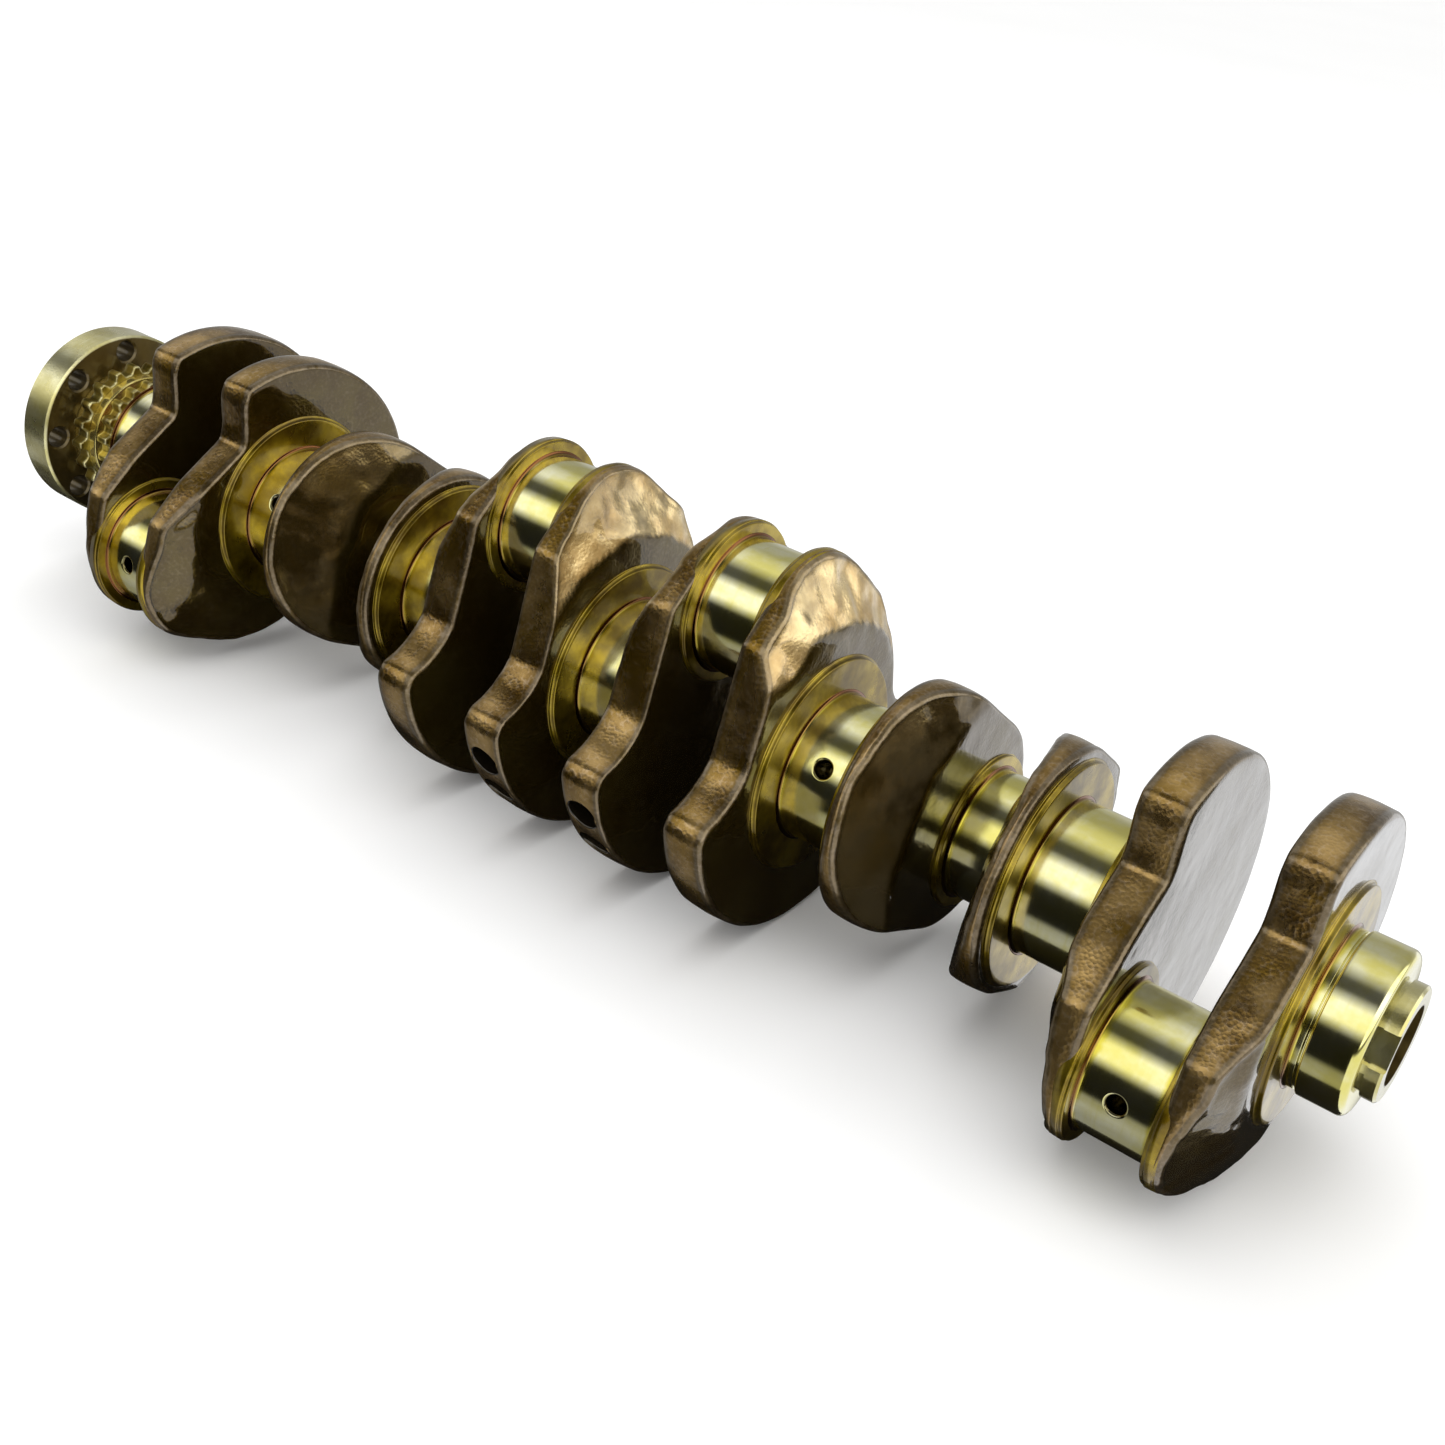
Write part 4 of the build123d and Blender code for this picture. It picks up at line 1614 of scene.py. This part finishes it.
@dataclass(frozen=True)
class GroundSteel:
    """Ground and polished steel under a thin yellow-green oil film."""

    name: str = "ground_steel"
    silver: Colour = (0.92, 0.90, 0.62)
    tint: Colour = (0.80, 0.73, 0.21)
    stain: Colour = (0.70, 0.59, 0.02)
    # Painted shade for the walls of the oil holes.
    fillet: Colour = (0.20, 0.075, 0.022)
    hole: Colour = (0.05, 0.03, 0.015)
    oil_amount: float = 0.55
    streak_share: float = 0.30
    stain_share: float = 0.80
    run_share: float = 0.16
    hole_shade_share: float = 0.85
    roughness: float = 0.09
    streak_roughness: float = 0.08
    stain_roughness: float = 0.05
    coat: float = 0.25
    coat_roughness: float = 0.06
    bump_strength: float = 0.05
    bump_depth: float = 0.0004

    def material(self, effects: Effects) -> bpy.types.Material:
        """Builds the finish: silver clouded with oil tint, stained near both fillets.

        Args:
            effects: the shared shader groups.

        Returns:
            The material.
        """
        made, desk, shader, where = blank_material(self.name)
        lines = effects.use(desk, effects.lines, position=where)
        film = effects.use(desk, effects.oil, position=where, amount=self.oil_amount)
        end, bore = mask(desk, "end"), mask(desk, "bore")
        streak, cloud = lines.outputs["Streak"], lines.outputs["Cloud"]
        steel = desk.mix(desk.step(cloud, 0.30, 0.66), self.silver, self.tint)
        steel = desk.mix(desk.times(desk.step(streak, 0.45, 0.75), self.streak_share), steel, self.tint)
        waved = desk.plus(end, desk.times(desk.minus(cloud, 0.5), 1.5))
        stained = desk.step(waved, 0.30, 0.75)
        steel = desk.mix(desk.times(stained, self.stain_share), steel, self.stain)
        steel = desk.mix(desk.times(film.outputs["Run"], self.run_share), steel, self.stain)
        steel = desk.mix(desk.step(end, 0.72, 0.97), steel, self.fillet)
        # Painted shade: the walls of the oil holes are darkened.
        steel = desk.mix(desk.times(bore, self.hole_shade_share), steel, self.hole)
        desk.feed(shader, "Base Color", steel)
        shader.inputs["Metallic"].default_value = 1.0
        rough = desk.plus(self.roughness, desk.times(streak, self.streak_roughness))
        desk.feed(shader, "Roughness", desk.plus(rough, desk.times(stained, self.stain_roughness)))
        shader.inputs["Coat Weight"].default_value = self.coat
        shader.inputs["Coat Roughness"].default_value = self.coat_roughness
        height = desk.times(lines.outputs["Height"], 0.25)
        height = desk.plus(height, desk.times(film.outputs["Ripple"], 0.5))
        bump(desk, shader, height, self.bump_strength, self.bump_depth)
        return made


@dataclass(frozen=True)
class TurnedFace:
    """Turned thrust faces, hubs and flange: steel in golden-olive preserving oil."""

    name: str
    light: Colour = (0.46, 0.33, 0.018)
    deep: Colour = (0.16, 0.100, 0.002)
    rubbed: Colour = (0.70, 0.56, 0.14)
    roughness: float = 0.26
    rim_from: float = 0.0
    # Painted shade inside the radius rim_from, deep and soft.
    deep_painted_shade: Colour = (0.060, 0.036, 0.008)
    soft_painted_shade: Colour = (0.135, 0.085, 0.020)
    inside_share: float = 0.93
    inside_roughness: float = 0.20
    oil_amount: float = 0.5
    wear_amount: float = 0.8
    coarseness: float = 1.3
    pool_share: float = 0.5
    streak_share: float = 0.28
    mottle_roughness: float = 0.10
    metallic: float = 0.95
    coat: float = 0.6
    coat_roughness: float = 0.05
    bump_strength: float = 0.16
    bump_depth: float = 0.0005

    def material(self, effects: Effects) -> bpy.types.Material:
        """Builds the finish: two depths of oil colour over turning marks.

        Inside the radius rim_from, in metres, the steel is darkened with painted shade.

        Args:
            effects: the shared shader groups.

        Returns:
            The material.
        """
        made, desk, shader, where = blank_material(self.name)
        lines = effects.use(desk, effects.lines, position=where)
        film = effects.use(desk, effects.oil, position=where, amount=self.oil_amount)
        grain = effects.use(desk, effects.grain, position=where, coarseness=self.coarseness)
        edge = mask(desk, "edge")
        brightening = effects.use(desk, effects.wear, position=where, edge=edge, amount=self.wear_amount)
        streak = desk.times(desk.step(lines.outputs["Streak"], 0.5, 0.8), self.streak_share)
        steel = desk.mix(desk.step(lines.outputs["Cloud"], 0.32, 0.66), self.light, self.deep)
        steel = desk.mix(desk.times(film.outputs["Pool"], self.pool_share), steel, self.deep)
        steel = desk.mix(streak, steel, self.rubbed)
        steel = desk.mix(brightening.outputs["Wear"], steel, self.rubbed)
        rough = desk.plus(self.roughness, desk.times(grain.outputs["Mottle"], self.mottle_roughness))
        # Painted shade: inside the radius rim_from the steel is darkened.
        if self.rim_from > 0:
            split = desk.add("ShaderNodeSeparateXYZ")
            desk.feed(split, 0, where)
            squares = [desk.times(split.outputs[i], split.outputs[i]) for i in (1, 2)]
            radius = desk.math("SQRT", desk.plus(*squares))
            inside = desk.step(radius, self.rim_from - 0.0005, self.rim_from + 0.0002, 1.0, 0.0)
            dark = desk.mix(grain.outputs["Mottle"], self.deep_painted_shade, self.soft_painted_shade)
            steel = desk.mix(desk.times(inside, self.inside_share), steel, dark)
            rough = desk.plus(rough, desk.times(inside, self.inside_roughness))
        desk.feed(shader, "Base Color", steel)
        shader.inputs["Metallic"].default_value = self.metallic
        desk.feed(shader, "Roughness", rough)
        shader.inputs["Coat Weight"].default_value = self.coat
        shader.inputs["Coat Roughness"].default_value = self.coat_roughness
        height = desk.plus(desk.times(grain.outputs["Height"], 0.35), film.outputs["Ripple"])
        bump(desk, shader, height, self.bump_strength, self.bump_depth)
        return made


# ---------------------------------------------------------------- stage


@dataclass(frozen=True)
class Studio:
    """Camera, floor and soft light, in metres.

    Each band of light is a direction round the shaft in degrees and a brightness. Two brighter zones, beside
    and above the nose, light the faces of the webs. Only reflections see the bands and the zones.
    """

    camera_at: tuple[float, float, float] = (0.338420, -0.458031, 0.303508)
    right: tuple[float, float, float] = (0.786341, 0.605556, 0.122355)
    ahead: tuple[float, float, float] = (-0.484303, 0.727183, -0.486473)
    lens: float = 43.4145
    floor_width: float = 14.0
    floor_gap: float = 0.0002
    # Height and corners of the black card that puts painted shade into reflections.
    card_lift: float = 0.0001
    card_corners: tuple[Station, ...] = (
        (-0.45, -0.06), (0.29, -0.06), (0.29, 0.02), (0.16, 0.02), (0.16, 0.12), (-0.45, 0.12),
    )
    bands: tuple[Station, ...] = (
        (-180, 0.26), (-140, 0.28), (-118, 0.42), (-95, 0.52), (-75, 0.36), (-45, 0.40),
        (-28, 0.72), (-10, 0.90), (2, 0.45), (11, 0.08), (25, 0.06), (34, 0.60), (42, 1.28),
        (63, 1.24), (71, 0.50), (78, 0.015), (120, 0.010), (127, 0.30), (142, 0.38), (164, 0.26),
    )
    beside: Colour = (1.00, 1.01, 1.03)
    above: Colour = (1.75, 1.74, 1.68)

    def camera(self) -> None:
        """Places the camera by its right and forward directions."""
        data = bpy.data.cameras.new("view")
        data.lens, data.sensor_width = self.lens, 36.0
        data.clip_start, data.clip_end = 0.01, 60.0
        held = bpy.data.objects.new("view", data)
        bpy.context.scene.collection.objects.link(held)
        ahead, right = Vector(self.ahead).normalized(), Vector(self.right).normalized()
        up = right.cross(ahead).normalized()
        turned = Matrix((right, up, -ahead)).transposed().to_4x4()
        held.matrix_world = Matrix.Translation(Vector(self.camera_at)) @ turned
        bpy.context.scene.camera = held

    def _lay(self, name: str, corners: Sequence[Station], height: float) -> bpy.types.Object:
        """Lays a flat sheet on the stage.

        Args:
            name: the sheet's name.
            corners: its corners as (x, y), counter-clockwise, in metres.
            height: its z.

        Returns:
            The sheet's object.
        """
        mesh = bpy.data.meshes.new(name)
        mesh.from_pydata([(*corner, height) for corner in corners], [], [tuple(range(len(corners)))])
        laid = bpy.data.objects.new(name, mesh)
        bpy.context.scene.collection.objects.link(laid)
        laid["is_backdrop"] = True
        return laid

    def _matte(self, name: str, waves: float, first: Colour, second: Colour) -> bpy.types.Material:
        """A matte paper of two close shades.

        Args:
            name: the material's name.
            waves: waves of the shading per metre.
            first: one shade.
            second: the other.

        Returns:
            The material.
        """
        made, desk, shader, where = blank_material(name)
        desk.feed(shader, "Base Color", desk.mix(desk.noise(where, waves, 2.0, 0.5), first, second))
        shader.inputs["Roughness"].default_value = 0.9
        shader.inputs["Specular IOR Level"].default_value = 0.1
        return made

    def floor(self, height: float) -> None:
        """Lays a plain pale floor: a square of four corners at one height.

        Args:
            height: its z, in metres.
        """
        half = self.floor_width / 2
        laid = self._lay("floor", ((-half, -half), (half, -half), (half, half), (-half, half)), height)
        laid.data.materials.append(self._matte("pale_floor", 3.0, (0.93, 0.93, 0.93), (0.96, 0.96, 0.96)))
        laid.visible_glossy = False

    def shade_reflection_card(self, height: float) -> None:
        """Lays a black card under and behind the shaft that puts painted shade into reflections: six corners
        at one height, seen only in gloss.

        Args:
            height: its z, in metres.
        """
        laid = self._lay("shade_reflection_card", self.card_corners, height)
        black = self._matte("painted_shade_reflection", 8.0, (0.012, 0.011, 0.009), (0.022, 0.020, 0.017))
        laid.data.materials.append(black)
        for ray in ("camera", "diffuse", "shadow", "transmission"):
            setattr(laid, f"visible_{ray}", False)

    def surroundings(self) -> None:
        """Makes the studio walls: bands of soft light round the shaft, with the two zones toward the nose."""
        world = bpy.data.worlds.new("studio")
        bpy.context.scene.world = world
        world.use_nodes = True
        world.node_tree.nodes.clear()
        desk = NodeDesk(world.node_tree)
        out = desk.add("ShaderNodeOutputWorld")
        coordinates = desk.add("ShaderNodeTexCoord")
        split = desk.add("ShaderNodeSeparateXYZ")
        desk.feed(split, 0, coordinates.outputs["Generated"])
        x, y, z = split.outputs
        angle = desk.math("ARCTAN2", desk.times(y, -1.0), z)
        share = desk.plus(desk.math("DIVIDE", angle, 2 * math.pi), 0.5)
        ramp = desk.add("ShaderNodeValToRGB")
        desk.feed(ramp, "Fac", share)
        while len(ramp.color_ramp.elements) < len(self.bands):
            ramp.color_ramp.elements.new(0.5)
        for element, (degrees, level) in zip(ramp.color_ramp.elements, self.bands):
            element.position = degrees / 360 + 0.5
            element.color = (level, level, level * 0.98, 1.0)
        low = desk.step(z, -0.16, -0.06, 1.0, 0.0)
        beside = desk.times(low, desk.step(x, 0.03, 0.12))
        above = desk.times(desk.step(z, -0.02, 0.08), desk.step(x, 0.50, 0.62))
        seen = desk.mix(beside, ramp.outputs["Color"], self.beside)
        seen = desk.mix(above, seen, self.above)
        path = desk.add("ShaderNodeLightPath")
        even = desk.mix(path.outputs["Is Diffuse Ray"], seen, (1.0, 1.0, 1.0))
        shown = desk.mix(path.outputs["Is Camera Ray"], even, (1.0, 1.0, 1.0))
        background = desk.add("ShaderNodeBackground")
        desk.feed(background, "Color", shown)
        background.inputs["Strength"].default_value = 1.0
        desk.feed(out, "Surface", background.outputs["Background"])

    def lamps(self) -> None:
        """Hangs two large soft lamps above the shaft."""
        for name, place, size, power in (
            ("overhead_lamp", (0.2, -0.6, 1.6), 1.6, 9.0),
            ("back_lamp", (-0.9, 0.9, 1.3), 1.4, 5.0),
        ):
            data = bpy.data.lights.new(name, "AREA")
            data.shape, data.size, data.energy = "DISK", size, power
            lamp = bpy.data.objects.new(name, data)
            bpy.context.scene.collection.objects.link(lamp)
            lamp.location = place
            lamp.visible_glossy = False
            aim = Vector(place).normalized()
            lamp.rotation_mode = "QUATERNION"
            lamp.rotation_quaternion = aim.to_track_quat("Z", "Y")

    def build(self, floor_height: float) -> None:
        """Makes the whole stage.

        Args:
            floor_height: z of the floor, in metres.
        """
        bpy.context.scene.view_settings.view_transform = "Standard"
        self.camera()
        self.floor(floor_height)
        # Painted shade seen only in reflections, under and behind the shaft.
        self.shade_reflection_card(floor_height + self.card_lift)
        self.surroundings()
        self.lamps()


# ---------------------------------------------------------------- assembly


def main() -> None:
    """Builds every piece in order round the frame."""
    logging.basicConfig(level=logging.INFO, format="%(message)s")
    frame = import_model()
    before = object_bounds()
    slots = {row["slot"] for row in frame["record"]["materials"]}
    LOG.info("frame has %d nodes and slots %s", len(frame["nodes"]), sorted(slots))
    effects = Effects()
    skin = ForgedSkin().material(effects)
    thrust = TurnedFace("thrust_face").material(effects)
    journal = GroundSteel().material(effects)
    olive, deep_olive, tooth = (0.50, 0.40, 0.08), (0.17, 0.115, 0.010), (0.98, 0.92, 0.50)
    gear = TurnedFace("sprocket_steel", olive, deep_olive, tooth, 0.32)
    pale, green, rubbed = (0.86, 0.82, 0.50), (0.58, 0.52, 0.19), (0.92, 0.90, 0.66)
    # The flange's face inside a radius of 41 mm gets painted shade.
    flange = TurnedFace("flange_steel", pale, green, rubbed, 0.22, 0.0410)
    hub = TurnedFace("hub_steel", (0.82, 0.70, 0.26), (0.50, 0.38, 0.07), rubbed, 0.20)
    # The register's recess inside a radius of 13.6 mm gets painted shade.
    register = TurnedFace("register_steel", pale, green, rubbed, 0.14, 0.0136)
    for number in range(1, 13):
        Web(number, Stock((skin, thrust), "forged_web")).build()
    Journals(Stock((journal,), "main_journal")).build()
    Nose(Stock((journal,), "main_journal")).build()
    OutputEnd(
        Stock((gear.material(effects),), "sprocket"),
        Stock((hub.material(effects),), "output_flange"),
    ).build()
    dress(frame["nodes"]["nose_register"], register.material(effects))
    dress(frame["nodes"]["output_flange"], flange.material(effects))
    studio = Studio()
    studio.build(before[0].z - studio.floor_gap)


if __name__ == "__main__":
    main()
